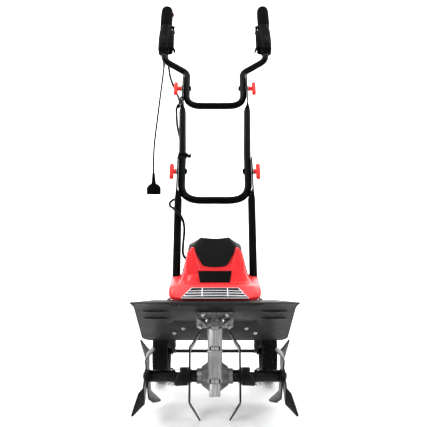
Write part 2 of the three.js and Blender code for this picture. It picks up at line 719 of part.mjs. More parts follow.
// A flat trim piece that lies on the housing's front between two heights.
function trimFrame(low, high) {
  const along = new THREE.Vector3(0, high[0] - low[0], high[1] - low[1]).normalize();
  const x = new THREE.Vector3(1, 0, 0);
  const out = new THREE.Vector3().crossVectors(x, along);
  return AXLE.clone()
    .multiply(new THREE.Matrix4().makeTranslation(0, low[0], low[1]))
    .multiply(new THREE.Matrix4().makeBasis(x, along, out));
}
function grille() {
  const outline = [[-80, 0], [80, 0], [57, 28], [-57, 28]];
  const windows = [3, 11, 19].flatMap((y) => {
    const half = 76 - y * 0.8;
    return [[-half, -33], [-29, 29], [33, half]].map((x) => toSolid(box(x, [y, y + 5], [-5, 8])));
  });
  return cut(toSolid(plate(outline, 0.6, 4)), ...windows);
}
add('front_grille', grille(), CHROME, trimFrame([-16, 206], [10, 224]));
const namePlate = plate([[-38, 1], [38, 1], [43, 29], [-43, 29]], 0.6, 2.6);
add('name_plate', namePlate, BLACK, trimFrame([25, 233], [40, 259]));

// ---- guard and its bracket ----------------------------------------------------------------------
// The upper corners flare out; the top edge carries a level flange and a short skirt in front.
const EAR = 7.5;
const FLANGE_DEEP = 20;
const GUARD_SLOPE = Math.atan2(GUARD_RUN[1], -GUARD_RUN[0]);
function guard() {
  const t = GUARD_THICK / 2;
  const [low, high] = [GUARD_LOW, GUARD_HIGH].map(([y, z]) =>
    Math.sign(z - 136) * Math.hypot(y - 35, z - 136));
  const half = GUARD_HALF - EAR;
  const edge = [
    [half - 20, low],
    [half - 6, low + 6],
    [half, low + 20],
    [half, high - 32],
    [half + 2, high - 15],
    [GUARD_HALF, high],
  ];
  const sheet = toSolid(plate([...edge, ...edge.map(([x, s]) => [-x, s]).reverse()], -t, t));
  const level = [
    [-150, -FLANGE_DEEP],
    [150, -FLANGE_DEEP],
    [GUARD_HALF, 0.6],
    [-GUARD_HALF, 0.6],
  ];
  const flange = toSolid(plate(level, -t, t)
    .rotateX(GUARD_SLOPE)
    .translate(0, high, 0));
  const skirt = toSolid(plate([[-96, -9], [96, -9], [128, 0.8], [-128, 0.8]], -t, t)
    .rotateX(GUARD_SLOPE - Math.PI / 2)
    .translate(0, high, 0));
  const slots = [-1, 1].flatMap((side) => [5, 44].map((s) =>
    toSolid(box(mirrorX([116, 177], side), [s, s + 5], [-5, 5]))));
  const hole = toSolid(bar([0, -8, -30], [0, 8, 30], 27, 20));
  const bolts = GUARD_BOLTS.map(([x, s]) => toSolid(bar([x, s, -5], [x, s, 5], 3.4, 12)));
  return cut(union(sheet, flange, skirt), ...slots, hole, ...bolts);
}
const GUARD_BOLTS = [[-28, 38], [28, 38], [-37, -36], [37, -36]];
add('tine_guard', guard(), PAINT, GUARD);

function guardBracket() {
  const low = GUARD_THICK / 2 + GAP;
  const base = toSolid(box([-47, 47], [-46, 46], [low, low + 4]));
  const front = toSolid(box([-27, 27], [24, 30], [low, 30]));
  const gussets = SIDES.map(([, side]) => {
    const outline = [[-30, low + 2], [44, low + 2], [29, 29], [25, 29]];
    return toSolid(slab(outline, side > 0 ? 26 : -30, side > 0 ? 30 : -26));
  });
  const hole = toSolid(bar([0, -16, -40], [0, 16, 40], 24, 20));
  const square = [-14, 8].map((x) => toSolid(box([x, x + 6], [20, 34], [14, 20])));
  const bolts = GUARD_BOLTS.map(([x, s]) => toSolid(bar([x, s, -5], [x, s, 12], 3.4, 12)));
  return cut(union(base, front, ...gussets), hole, ...square, ...bolts);
}
add('guard_bracket', guardBracket(), STEEL, GUARD);

// ---- tines --------------------------------------------------------------------------------------
// A strip with both ends folded the same way; bow is how far the fold line is turned from square.
function bladeStrip(x, clock, fold, bow) {
  const line = Math.tan(rad(bow)) * TINE_WIDE;
  const flat = [
    [-TINE_BEND + line, -TINE_WIDE],
    [TINE_BEND + line, -TINE_WIDE],
    [TINE_BEND - line, TINE_WIDE],
    [-TINE_BEND - line, TINE_WIDE],
  ];
  const middle = toSolid(plate(flat, 0, TINE_THICK));
  const leaf = (end) => {
    const root = new THREE.Vector3(end * TINE_BEND, 0, fold > 0 ? 0 : TINE_THICK);
    const hinge = new THREE.Vector3(-Math.sin(rad(bow)), Math.cos(rad(bow)), 0);
    const outline = [
      [-2, -TINE_WIDE * end],
      [20, -TINE_WIDE * end],
      [LEAF_LONG - 2, 9 * end],
      [LEAF_LONG, 17 * end],
      [LEAF_LONG - 5, TINE_WIDE * end],
      [-2, TINE_WIDE * end],
    ].map(([u, v]) => [end * u - Math.tan(rad(bow)) * v, v]);
    const geometry = plate(outline, fold > 0 ? 0 : -TINE_THICK, fold > 0 ? TINE_THICK : 0);
    const turn = new THREE.Quaternion().setFromAxisAngle(hinge, rad(-TINE_FOLD) * end * fold);
    return toSolid(geometry.applyQuaternion(turn).translate(root.x, root.y, root.z));
  };
  const hole = toSolid(bar([0, 0, -5], [0, 0, 10], SHAFT_R + GAP, 16));
  const solid = cut(union(middle, leaf(1), leaf(-1)), hole);
  // The strip's own z becomes x, and its length turns about the axle.
  const stand = new THREE.Matrix4().makeBasis(
    new THREE.Vector3(0, Math.cos(rad(clock)), Math.sin(rad(clock))),
    new THREE.Vector3(0, -Math.sin(rad(clock)), Math.cos(rad(clock))),
    new THREE.Vector3(1, 0, 0),
  );
  return toSolid(toGeometry(solid).applyMatrix4(stand).translate(x, 0, 0));
}

function hub(side, from, to, radius) {
  const body = toSolid(bar([side * from, 0, 0], [side * to, 0, 0], radius, 16));
  return cut(body, toSolid(bar([side * (from - 1), 0, 0], [side * (to + 1), 0, 0], SHAFT_R + GAP, 16)));
}

// Each wheel is two crossed strips; the one whose ends fold in is welded to its hub.
const PIN_X = 108;
const TINES = [
  { place: 'inner', x: INNER_TINE_X, clock: 90 - TINE_CLOCK, hubFrom: 46, hubRadius: 15 },
  { place: 'outer', x: OUTER_TINE_X, clock: -90 + TINE_CLOCK, hubFrom: 99, hubRadius: 14.7 },
];
for (const { place, x, clock, hubFrom, hubRadius } of TINES) {
  for (const [name, side] of SIDES) {
    const first = side > 0 ? x - TINE_THICK - GAP / 2 : -x + GAP / 2;
    const second = side > 0 ? x + GAP / 2 : -x - TINE_THICK - GAP / 2;
    const sleeve = hub(side, hubFrom, x - TINE_THICK, hubRadius);
    const pinHole = toSolid(bar([side * PIN_X, 0, -20], [side * PIN_X, 0, 20], 3.3, 12));
    const welded = union(bladeStrip(first, clock, -side, TINE_BOW[place]), sleeve);
    add(`${place}_tine_in_${name}`, place === 'outer' ? cut(welded, pinHole) : welded, PAINT);
    add(`${place}_tine_out_${name}`, bladeStrip(second, clock + 90, side, TINE_BOW[place]), PAINT);
  }
}

for (const [name, side] of SIDES) {
  const shank = toSolid(bar([side * PIN_X, 0, -19], [side * PIN_X, 0, 20], 3, 12));
  const head = toSolid(bar([side * PIN_X, 0, 16.5], [side * PIN_X, 0, 21], 5, 12));
  add(`hitch_pin_${name}`, union(shank, head), STEEL);
}

function tineShaft() {
  const rod = toSolid(bar([-178, 0, 0], [178, 0, 0], SHAFT_R, 32));
  const pins = SIDES.map(([, side]) => toSolid(bar([side * PIN_X, 0, -20], [side * PIN_X, 0, 20], 3.3, 12)));
  return cut(rod, ...pins);
}
add('tine_shaft', tineShaft(), PAINT);

// ---- rear frame, wheel bracket and transport wheels ---------------------------------------------
const PIVOT_R = 8;
const pivotInHandle = new THREE.Vector3(0, AXLE_Y + TILT_PIVOT[0], AXLE_Z + TILT_PIVOT[1])
  .applyMatrix4(HANDLE.clone().invert());

function rearFrame() {
  const [t, n] = [pivotInHandle.y, pivotInHandle.z];
  const cross = toSolid(box([-110, 110], [-66, -14], [-44, -40]));
  const saddles = SIDES.map(([, side]) =>
    toSolid(box(mirrorX([94, 108], side), [-60, -29], [-42, -TUBE_R - GAP])));
  const ears = SIDES.map(([, side]) =>
    toSolid(box(mirrorX([60, 66], side), [t - 13, t + 13], [n - 13, -42])));
  const stays = SIDES.map(([, side]) =>
    toSolid(box(mirrorX([46, 52], side), [-66, -30], [-42, -30])));
  const bore = toSolid(bar([-80, t, n], [80, t, n], PIVOT_R + RUN, 32));
  return cut(union(cross, ...saddles, ...ears, ...stays), bore);
}
add('rear_frame', rearFrame(), PAINT, HANDLE);

function bracketArm(side) {
  const [y0, z0] = TILT_PIVOT;
  const [y1, z1] = WHEEL_AT;
  const along = new THREE.Vector2(y1 - y0, z1 - z0).normalize();
  const a = [y0 - along.x * 14, z0 - along.y * 14];
  const b = [y1 + along.x * 12, z1 + along.y * 12];
  const w = [-along.y * 14, along.x * 14];
  const outline = [
    [a[0] - w[0], a[1] - w[1]],
    [b[0] - w[0], b[1] - w[1]],
    [b[0] + w[0], b[1] + w[1]],
    [a[0] + w[0], a[1] + w[1]],
  ];
  const x = mirrorX([120, 124], side);
  const hole = toSolid(bar([x[0] - 5, y1, z1], [x[1] + 5, y1, z1], 5 + GAP, 24));
  return cut(toSolid(slab(outline, x[0], x[1])), hole);
}
const tiltShaft = toSolid(bar([-128, ...TILT_PIVOT], [128, ...TILT_PIVOT], PIVOT_R, 32));
add('wheel_bracket', union(tiltShaft, bracketArm(-1), bracketArm(1)), PAINT);
add('wheel_axle', bar([-178, ...WHEEL_AT], [178, ...WHEEL_AT], 5, 24), STEEL);

function tyre(side) {
  const half = TYRE_WIDE / 2;
  const profile = [
    [60, -half + 6],
    [70, -half],
    [WHEEL_R, -half + 7],
    [WHEEL_R, half - 7],
    [70, half],
    [60, half - 6],
    [60, -half + 6],
  ];
  return turned(profile, 24).translate(side * WHEEL_X, ...WHEEL_AT);
}
function rim(side) {
  const half = TYRE_WIDE / 2;
  const profile = [
    [5 + RUN, -half],
    [14, -half],
    [17, -half + 9],
    [50, -half + 9],
    [60 - GAP, -half + 6.5],
    [60 - GAP, half - 6.5],
    [50, half - 9],
    [17, half - 9],
    [14, half],
    [5 + RUN, half],
    [5 + RUN, -half],
  ];
  return turned(profile, 24).translate(side * WHEEL_X, ...WHEEL_AT);
}
for (const [name, side] of SIDES) {
  add(`tyre_${name}`, tyre(side), RUBBER);
  add(`wheel_rim_${name}`, rim(side), BLACK);
}

export default tiller;
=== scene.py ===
"""Looks for the electric garden tiller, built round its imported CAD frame. Sizes are in millimetres."""
import json
import math

import bmesh
import bpy
from mathutils import Matrix, Vector


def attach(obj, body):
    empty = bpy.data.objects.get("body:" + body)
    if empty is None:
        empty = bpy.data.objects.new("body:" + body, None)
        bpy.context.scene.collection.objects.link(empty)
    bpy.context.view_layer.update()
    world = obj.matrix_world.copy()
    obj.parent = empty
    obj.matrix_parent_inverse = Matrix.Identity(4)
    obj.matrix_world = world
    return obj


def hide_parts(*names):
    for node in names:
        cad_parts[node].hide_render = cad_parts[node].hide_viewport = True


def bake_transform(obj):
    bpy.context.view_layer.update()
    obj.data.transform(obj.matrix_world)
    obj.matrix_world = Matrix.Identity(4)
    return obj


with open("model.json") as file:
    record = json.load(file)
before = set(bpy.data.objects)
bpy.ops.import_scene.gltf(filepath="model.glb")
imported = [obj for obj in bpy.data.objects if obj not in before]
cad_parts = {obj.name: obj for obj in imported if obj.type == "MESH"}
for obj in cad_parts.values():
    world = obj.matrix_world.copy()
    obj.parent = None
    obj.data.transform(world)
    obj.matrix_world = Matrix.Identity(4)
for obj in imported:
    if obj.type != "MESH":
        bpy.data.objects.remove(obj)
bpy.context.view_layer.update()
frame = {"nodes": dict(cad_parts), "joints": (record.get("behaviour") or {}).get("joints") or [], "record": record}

MM = 0.001
SIDES = (("left", -1), ("right", 1))
JOINTS = {joint["name"]: joint for joint in frame["joints"]}
MOUNTS = {mount["name"]: mount for mount in frame["record"]["mounts"]}


# ---- frames: each maps (x, along, across) in millimetres to metres in the shared frame ----
def turned_to(along):
    """A turn that keeps x and takes the second axis to a direction in the centre plane."""
    x = Vector((1, 0, 0))
    y = Vector((0, along[1], along[2])).normalized()
    return Matrix((x, y, x.cross(y))).transposed().to_4x4()


def frame_at(origin, along):
    """A frame at an origin on the centre plane, with its second axis along a direction in that plane."""
    place = Matrix.Translation((0, origin[1], origin[2]))
    return place @ turned_to(along) @ Matrix.Diagonal((MM, MM, MM, 1))


LOWER_PIVOT = 350.0  # distances of the two folds along the handle
UPPER_PIVOT = 695.7
SHEET_HALF = 1.25  # half the thickness of the guard's sheet
low_pivot = Vector(JOINTS["lower_fold"]["pos_m"])
up_pivot = Vector(JOINTS["upper_fold"]["pos_m"])
handle_run = (up_pivot - low_pivot).normalized()
axle_at = Vector(JOINTS["tine_spin"]["pos_m"])
wheel_at = Vector(JOINTS["wheel_left_spin"]["pos_m"])
tilt_at = Vector(JOINTS["bracket_tilt"]["pos_m"])
column_up = Vector(JOINTS["rotor_spin"]["axis"])
guard_out = -Vector(MOUNTS["guard_top"]["axis"])

AXLE = frame_at(axle_at, (0, 1, 0))
HANDLE = frame_at(low_pivot - handle_run * LOWER_PIVOT * MM, handle_run)
COLUMN = frame_at(Vector(JOINTS["rotor_spin"]["pos_m"]), column_up.cross(Vector((1, 0, 0))))
GUARD = frame_at(Vector(MOUNTS["guard_top"]["pos_m"]) + guard_out * SHEET_HALF * MM,
                 guard_out.cross(Vector((1, 0, 0))))
WHEELS = frame_at(wheel_at, (0, 1, 0))


def at(where, x, y, z):
    return where @ Matrix.Translation((x, y, z))


# ---- camera and cords come first ----
CAMERA_BACK = 1.409  # metres from the tine shaft
CAMERA_UP = 0.613
CAMERA_PITCH = 81.8  # degrees from looking straight down


def make_camera():
    data = bpy.data.cameras.new("camera")
    data.lens = 50
    data.sensor_width = 36
    data.shift_x = -0.0032
    camera = bpy.data.objects.new("camera", data)
    camera.location = axle_at + Vector((0, -CAMERA_BACK, CAMERA_UP))
    camera.rotation_euler = (math.radians(CAMERA_PITCH), 0, 0)
    bpy.context.scene.collection.objects.link(camera)
    bpy.context.scene.camera = camera


make_camera()


# ---- materials ----
def mixed(tree, factor, a, b):
    """A colour mix node; returns its output."""
    node = tree.nodes.new("ShaderNodeMix")
    node.data_type = "RGBA"
    tree.links.new(factor, node.inputs[0])
    for socket, color in ((node.inputs[6], a), (node.inputs[7], b)):
        if isinstance(color, tuple):
            socket.default_value = (*color, 1)
        else:
            tree.links.new(color, socket)
    return node.outputs[2]


def multiplied(tree, a, b):
    node = tree.nodes.new("ShaderNodeMath")
    node.operation = "MULTIPLY"
    tree.links.new(a, node.inputs[0])
    tree.links.new(b, node.inputs[1])
    return node.outputs[0]


def noise(tree, coords, scale, detail=3.0, rough=0.55, stretch=None):
    source = coords
    if stretch:
        mapping = tree.nodes.new("ShaderNodeMapping")
        mapping.inputs["Scale"].default_value = stretch
        tree.links.new(coords, mapping.inputs["Vector"])
        source = mapping.outputs["Vector"]
    node = tree.nodes.new("ShaderNodeTexNoise")
    node.inputs["Scale"].default_value = scale
    node.inputs["Detail"].default_value = detail
    node.inputs["Roughness"].default_value = rough
    tree.links.new(source, node.inputs["Vector"])
    return node.outputs["Fac"]


def ranged(tree, value, low, high, out_low, out_high):
    node = tree.nodes.new("ShaderNodeMapRange")
    tree.links.new(value, node.inputs["Value"])
    limits = {"From Min": low, "From Max": high, "To Min": out_low, "To Max": out_high}
    for name, number in limits.items():
        node.inputs[name].default_value = number
    return node.outputs["Result"]


ROUGH_VARY = 0.06


def make_material(name, color, rough, metal=0.0, grain=900, bump=0.1, vary=0.12, spread=25,
                  coat=0.0, wear=None, dust=None, stretch=None, specular=0.5):
    """Broad colour and roughness variation, fine grain in the bump, worn edges and dust where asked."""
    material = bpy.data.materials.new(name)
    material.use_nodes = True
    tree = material.node_tree
    shader = tree.nodes["Principled BSDF"]
    coords = tree.nodes.new("ShaderNodeTexCoord").outputs["Object"]
    broad = noise(tree, coords, spread, 4.0, 0.6, stretch)
    fine = noise(tree, coords, grain, 2.0, 0.5, stretch)
    dark = tuple(c * (1 - vary) for c in color)
    light = tuple(min(1.0, c * (1 + vary)) for c in color)
    tint = mixed(tree, ranged(tree, broad, 0.35, 0.65, 0, 1), dark, light)
    if wear:
        geometry = tree.nodes.new("ShaderNodeNewGeometry")
        edge = ranged(tree, geometry.outputs["Pointiness"], 0.54, 0.62, 0, 1)
        broken = ranged(tree, noise(tree, coords, 160, 5.0, 0.7), 0.42, 0.6, 0, 0.85)
        tint = mixed(tree, multiplied(tree, edge, broken), tint, wear)
    if dust:
        normal = tree.nodes.new("ShaderNodeNewGeometry")
        split = tree.nodes.new("ShaderNodeSeparateXYZ")
        tree.links.new(normal.outputs["Normal"], split.inputs[0])
        facing = ranged(tree, split.outputs["Z"], 0.2, 1.0, 0, 1)
        patch = ranged(tree, noise(tree, coords, 60, 6.0, 0.7), 0.45, 0.75, 0, dust[1])
        tint = mixed(tree, multiplied(tree, facing, patch), tint, dust[0])
    tree.links.new(tint, shader.inputs["Base Color"])
    roughness = ranged(tree, broad, 0.3, 0.7, rough - ROUGH_VARY, rough + ROUGH_VARY)
    tree.links.new(roughness, shader.inputs["Roughness"])
    relief = tree.nodes.new("ShaderNodeBump")
    relief.inputs["Strength"].default_value = bump
    relief.inputs["Distance"].default_value = 0.0004
    tree.links.new(fine, relief.inputs["Height"])
    tree.links.new(relief.outputs["Normal"], shader.inputs["Normal"])
    shader.inputs["Metallic"].default_value = metal
    shader.inputs["Coat Weight"].default_value = coat
    shader.inputs["Coat Roughness"].default_value = 0.12
    shader.inputs["Specular IOR Level"].default_value = specular
    return material


RED = make_material("red_gloss", (0.76, 0.017, 0.022), 0.36, grain=420, bump=0.05,
                    vary=0.05, coat=0.15, specular=0.25)
RED_KNOB = make_material("red_knob_plastic", (0.72, 0.022, 0.016), 0.40, grain=700, bump=0.12,
                         vary=0.06, specular=0.2)
BUTTON_RED = make_material("dark_red_button", (0.20, 0.004, 0.008), 0.42, grain=700, bump=0.1,
                           vary=0.08, specular=0.2)
BLACK = make_material("black_moulding", (0.0022, 0.0022, 0.0024), 0.42, grain=1300, bump=0.15,
                      vary=0.15, specular=0.02)
CAP_BLACK = make_material("cap_moulding", (0.0075, 0.0075, 0.0078), 0.5, grain=1100, bump=0.35,
                          vary=0.12, specular=0.07)
BADGE = make_material("badge_black", (0.003, 0.0034, 0.0034), 0.26, grain=500, bump=0.02,
                      vary=0.1, coat=0.03, specular=0.06)
TUBE_PAINT = make_material("tube_powder_coat", (0.0012, 0.0012, 0.0013), 0.22, grain=700, bump=0.05,
                           vary=0.12, wear=(0.010, 0.010, 0.010), specular=0.035)
STEEL_PAINT = make_material("steel_powder_coat", (0.0030, 0.0030, 0.0032), 0.32, grain=650, bump=0.2,
                            vary=0.18, wear=(0.03, 0.03, 0.032), dust=((0.02, 0.02, 0.019), 0.15),
                            specular=0.16)
GUARD_PAINT = make_material("guard_powder_coat", (0.0105, 0.0105, 0.0108), 0.44, grain=620, bump=0.22,
                            vary=0.10, wear=(0.04, 0.04, 0.04), specular=0.14)
BRACKET_PAINT = make_material("bracket_grey", (0.078, 0.078, 0.074), 0.42, metal=0.35, grain=500, bump=0.2,
                              vary=0.14, wear=(0.25, 0.25, 0.25))
FOAM = make_material("grip_foam", (0.0024, 0.0024, 0.0026), 0.7, grain=1500, bump=0.35,
                     vary=0.2, specular=0.01)
CABLE = make_material("cable_sheath", (0.0022, 0.0022, 0.0024), 0.5, grain=900, bump=0.15,
                      vary=0.12, specular=0.06)
TYRE = make_material("tyre_rubber", (0.0042, 0.0042, 0.0042), 0.74, grain=900, bump=0.45, vary=0.2,
                     dust=((0.018, 0.017, 0.016), 0.2), specular=0.08)
ZINC = make_material("zinc_plate", (0.62, 0.63, 0.64), 0.30, metal=1.0, grain=500, bump=0.12, vary=0.12)
GROUND = make_material("ground_edge", (0.30, 0.30, 0.31), 0.38, metal=0.8, grain=300, bump=0.3, vary=0.3,
                       spread=90, stretch=(1, 6, 1))
CAST = make_material("cast_aluminium", (0.31, 0.312, 0.318), 0.40, metal=0.7, grain=650, bump=0.5,
                     vary=0.16, wear=(0.42, 0.42, 0.43), dust=((0.10, 0.10, 0.10), 0.25))
# The same cast aluminium as the column, with its base colour darkened as painted shade for the drum behind the
# column; the lighter worn edges and the dust are real
CAST_DRUM_PAINTED_SHADE = make_material("cast_aluminium_drum_painted_shade", (0.20, 0.201, 0.205), 0.42, metal=0.5, grain=650, bump=0.5,
                          vary=0.2, wear=(0.3, 0.3, 0.31), dust=((0.08, 0.08, 0.08), 0.25))
BRONZE_METAL = make_material("bronze", (0.50, 0.28, 0.10), 0.34, metal=1.0, grain=500, bump=0.15)
CHROME = make_material("bright_trim", (0.66, 0.68, 0.70), 0.18, metal=1.0, grain=300, bump=0.03, vary=0.04)
DARK = make_material("grille_shadow", (0.002, 0.002, 0.0023), 0.7, grain=500, bump=0.2, specular=0.04)
COPPER_METAL = make_material("copper_windings", (0.55, 0.23, 0.12), 0.4, metal=1.0, grain=300, bump=0.4)


# ---- mesh building ----
def squared(value, power):
    """A cosine or sine raised to a power with its sign kept; under 1 it squares a circle off."""
    return math.copysign(abs(value) ** power, value)


def circle_pairs(count, power=1.0, phase=0.0):
    """Cosine and sine pairs round a circle."""
    angles = [2 * math.pi * (k + phase) / count for k in range(count)]
    return [(squared(math.cos(a), power), squared(math.sin(a), power)) for a in angles]


def sided(side, a, b):
    """Two distances from the centre plane as an ordered x range on one side of it."""
    return tuple(sorted((side * a, side * b)))


def finish_piece(name, bm, material, body, replaces=(), bevel=0.0, segments=2, angle=38, blend=None):
    """Turns a bmesh into a shown piece: bevelled, smooth-shaded, riding on its body."""
    bmesh.ops.remove_doubles(bm, verts=bm.verts, dist=1e-6)
    bmesh.ops.recalc_face_normals(bm, faces=bm.faces)
    mesh = bpy.data.meshes.new(name)
    bm.to_mesh(mesh)
    bm.free()
    piece = bpy.data.objects.new(name, mesh)
    bpy.context.scene.collection.objects.link(piece)
    if bevel:
        modifier = piece.modifiers.new("edges", "BEVEL")
        modifier.width = bevel * MM
        modifier.segments = segments
        modifier.limit_method = "ANGLE"
        modifier.angle_limit = math.radians(32)
        modifier.use_clamp_overlap = True
        settled = piece.evaluated_get(bpy.context.evaluated_depsgraph_get())
        piece.data = bpy.data.meshes.new_from_object(settled)
        piece.modifiers.clear()
    piece.data.shade_smooth()
    piece.data.set_sharp_from_angle(angle=math.radians(angle))
    piece.data.materials.clear()
    for item in material if isinstance(material, list) else [material]:
        piece.data.materials.append(item)
    if blend:
        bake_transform(piece)
    else:
        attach(piece, body)
    if replaces:
        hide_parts(*replaces)
    return piece


def add_loft(bm, rings, where, caps=(True, True), slot_index=0):
    """Joins rings of equal length; each end may be closed."""
    loops = [[bm.verts.new(where @ Vector(p)) for p in ring] for ring in rings]
    count = len(loops[0])
    faces = []
    for first, second in zip(loops, loops[1:]):
        for k in range(count):
            n = (k + 1) % count
            faces.append(bm.faces.new((first[k], first[n], second[n], second[k])))
    if caps[0]:
        faces.append(bm.faces.new(loops[0][::-1]))
    if caps[1]:
        faces.append(bm.faces.new(loops[-1]))
    for face in faces:
        face.material_index = slot_index


def add_turned(bm, profile, start, end, where, sides=48):
    """A turned shape from start towards end; the profile holds (radius, distance from start)."""
    a, b = Vector(start), Vector(end)
    axis = (b - a).normalized()
    across = axis.orthogonal().normalized()
    other = axis.cross(across)
    loops = []
    for radius, along in profile:
        middle = a + axis * along
        if radius < 1e-4:
            loops.append([bm.verts.new(where @ middle)])
        else:
            loops.append([bm.verts.new(where @ (middle + (across * c + other * s) * radius))
                          for c, s in circle_pairs(sides)])
    for first, second in zip(loops, loops[1:]):
        for k in range(sides):
            n = (k + 1) % sides
            if len(first) == 1 and len(second) == 1:
                break
            if len(first) == 1:
                corners = (first[0], second[n], second[k])
            elif len(second) == 1:
                corners = (first[k], first[n], second[0])
            else:
                corners = (first[k], first[n], second[n], second[k])
            bm.faces.new(corners)


def add_bar(bm, start, end, radius, where, sides=40, chamfer=0.5):
    length = (Vector(end) - Vector(start)).length
    c = min(chamfer, length / 3, radius / 2)
    profile = [(0, 0), (radius - c, 0), (radius, c), (radius, length - c), (radius - c, length),
               (0, length)]
    add_turned(bm, profile, start, end, where, sides)


def add_ring(bm, start, end, outer, inner, where, sides=48, chamfer=0.4):
    length = (Vector(end) - Vector(start)).length
    c = chamfer
    profile = [(inner, 0), (outer - c, 0), (outer, c), (outer, length - c), (outer - c, length),
               (inner, length), (inner, 0)]
    add_turned(bm, profile, start, end, where, sides)


def add_box(bm, x, y, z, where):
    rings = [[(x[0], y[0], h), (x[1], y[0], h), (x[1], y[1], h), (x[0], y[1], h)] for h in z]
    add_loft(bm, rings, where)


def add_prism(bm, outline, low, high, where, plane="xy"):
    """An outline drawn out between two heights across its plane."""
    if plane == "xy":
        rings = [[(u, v, w) for u, v in outline] for w in (low, high)]
    else:
        rings = [[(w, u, v) for u, v in outline] for w in (low, high)]
    add_loft(bm, rings, where)


def add_plate(bm, outline, holes, low, high, where, edge=0.4):
    """A flat plate with holes and softened edges, its faces at two heights."""
    curve = bpy.data.curves.new("outline", "CURVE")
    curve.dimensions = "2D"
    curve.fill_mode = "BOTH"
    curve.extrude = (high - low) / 2 - edge
    curve.bevel_depth = edge
    curve.bevel_resolution = 1
    curve.offset = -edge
    for loop in (outline, *holes):
        spline = curve.splines.new("POLY")
        spline.points.add(len(loop) - 1)
        for point, (x, y) in zip(spline.points, loop):
            point.co = (x, y, 0, 1)
        spline.use_cyclic_u = True
    holder = bpy.data.objects.new("outline", curve)
    bpy.context.scene.collection.objects.link(holder)
    bpy.context.view_layer.update()
    mesh = bpy.data.meshes.new_from_object(holder.evaluated_get(bpy.context.evaluated_depsgraph_get()))
    mesh.transform(where @ Matrix.Translation((0, 0, (low + high) / 2)))
    bm.from_mesh(mesh)
    bpy.data.objects.remove(holder)
    bpy.data.curves.remove(curve)
    bpy.data.meshes.remove(mesh)


def circle(x, y, radius, count=24):
    return [(x + radius * c, y + radius * s) for c, s in circle_pairs(count)]


def arc(x, y, radius, start, steps=12):
    """Half a circle of points from a start angle in degrees."""
    angles = [math.radians(start + 180 * k / steps) for k in range(steps + 1)]
    return [(x + radius * math.cos(a), y + radius * math.sin(a)) for a in angles]


def rounded_box(x, y, radius, count=6):
    """A rectangle with round corners, anticlockwise."""
    points = []
    corners = ((x[1], y[1], 0), (x[0], y[1], 90), (x[0], y[0], 180), (x[1], y[0], 270))
    for cx, cy, start in corners:
        mx = cx - math.copysign(radius, cx - (x[0] + x[1]) / 2)
        my = cy - math.copysign(radius, cy - (y[0] + y[1]) / 2)
        for k in range(count + 1):
            angle = math.radians(start + 90 * k / count)
            points.append((mx + radius * math.cos(angle), my + radius * math.sin(angle)))
    return points


def spline_point(a, b, c, d, t):
    """The value at share t between b and c on the smooth curve through all four."""
    return 0.5 * (2 * b + (c - a) * t + (2 * a - 5 * b + 4 * c - d) * t * t
                  + (3 * b - a - 3 * c + d) * t ** 3)


def smooth_line(points, steps=8):
    """More points on one smooth curve through the given ones."""
    points = [Vector(p) for p in points]
    padded = [points[0] * 2 - points[1], *points, points[-1] * 2 - points[-2]]
    spans = zip(padded, padded[1:], padded[2:], padded[3:])
    return [spline_point(*span, k / steps) for span in spans for k in range(steps)] + [points[-1]]


def add_sweep(bm, line, radius, where, sides=16):
    """A round tube along a line."""
    line = [Vector(p) for p in line]
    normal = (line[1] - line[0]).orthogonal().normalized()
    rings = []
    for k, point in enumerate(line):
        run = (line[min(k + 1, len(line) - 1)] - line[max(k - 1, 0)]).normalized()
        normal = (normal - run * normal.dot(run)).normalized()
        other = run.cross(normal)
        rings.append([point + (normal * c + other * s) * radius for c, s in circle_pairs(sides)])
    add_loft(bm, rings, where)


def add_screw(bm, place, out, radius, where):
    """A round screw head with a socket."""
    height = 1.6
    profile = [(0, -0.3), (radius, -0.3), (radius, height * 0.6), (radius * 0.9, height),
               (radius * 0.5, height), (radius * 0.46, height * 0.35), (0, height * 0.35)]
    add_turned(bm, profile, place, Vector(place) + Vector(out), where, 24)


def add_hex(bm, place, out, radius, height, where):
    profile = [(0, 0), (radius, 0), (radius, height * 0.8), (radius * 0.86, height), (0, height)]
    add_turned(bm, profile, place, Vector(place) + Vector(out), where, 6)


# ---- handle tubes ----
TUBE_R = 11.0
FLAT_HALF = 2.0
FLAT_WIDE = 16.5
LOWER_STRIP = 111.3
UPPER_STRIP = 106.0
MIDDLE_LEG = 98.0
UPPER_LEG = 92.7
GRIP_X = 175.0


def rounded_line(corners, steps=10):
    """(x, t) points with the corners that carry a length rounded over it."""
    points = []
    for k, corner in enumerate(corners):
        if len(corner) == 2:
            points.append(tuple(corner))
            continue
        x, t, over = corner
        here = Vector((x, t))
        a, b = (here + (Vector(corners[k + d][:2]) - here).normalized() * over for d in (-1, 1))
        for j in range(steps + 1):
            u = j / steps
            p = a * (1 - u) ** 2 + here * 2 * u * (1 - u) + b * u ** 2
            points.append((p.x, p.y))
    return points


def add_flat_tube(bm, stations):
    """A tube in the handle's plane; each station is (x, t, flatness, share of the width)."""
    rings = []
    for k, station in enumerate(stations):
        x, t, flat, share = (*station, *(0.0, 1.0)[len(station) - 2:])
        before, after = stations[max(k - 1, 0)], stations[min(k + 1, len(stations) - 1)]
        run = Vector((after[0] - before[0], after[1] - before[1])).normalized()
        across = Vector((run.y, -run.x))
        half = TUBE_R + (FLAT_HALF - TUBE_R) * flat
        wide = (TUBE_R + (FLAT_WIDE - TUBE_R) * flat) * share
        power = 2 / (2 + 2.5 * flat)
        rings.append([(x + across.x * half * c, t + across.y * half * c, wide * s)
                      for c, s in circle_pairs(32, power, 0.5)])
    add_loft(bm, rings, HANDLE)


def flat_end(x, top, low):
    """The stations of a flattened end, from its rounded tip down to where the tube is round again."""
    tip = [(x, top - d, 1.0, share) for d, share in ((0, 0.55), (1, 0.72), (3, 0.88), (6, 0.97), (10, 1.0))]
    return [*tip, (x, low, 1.0)]


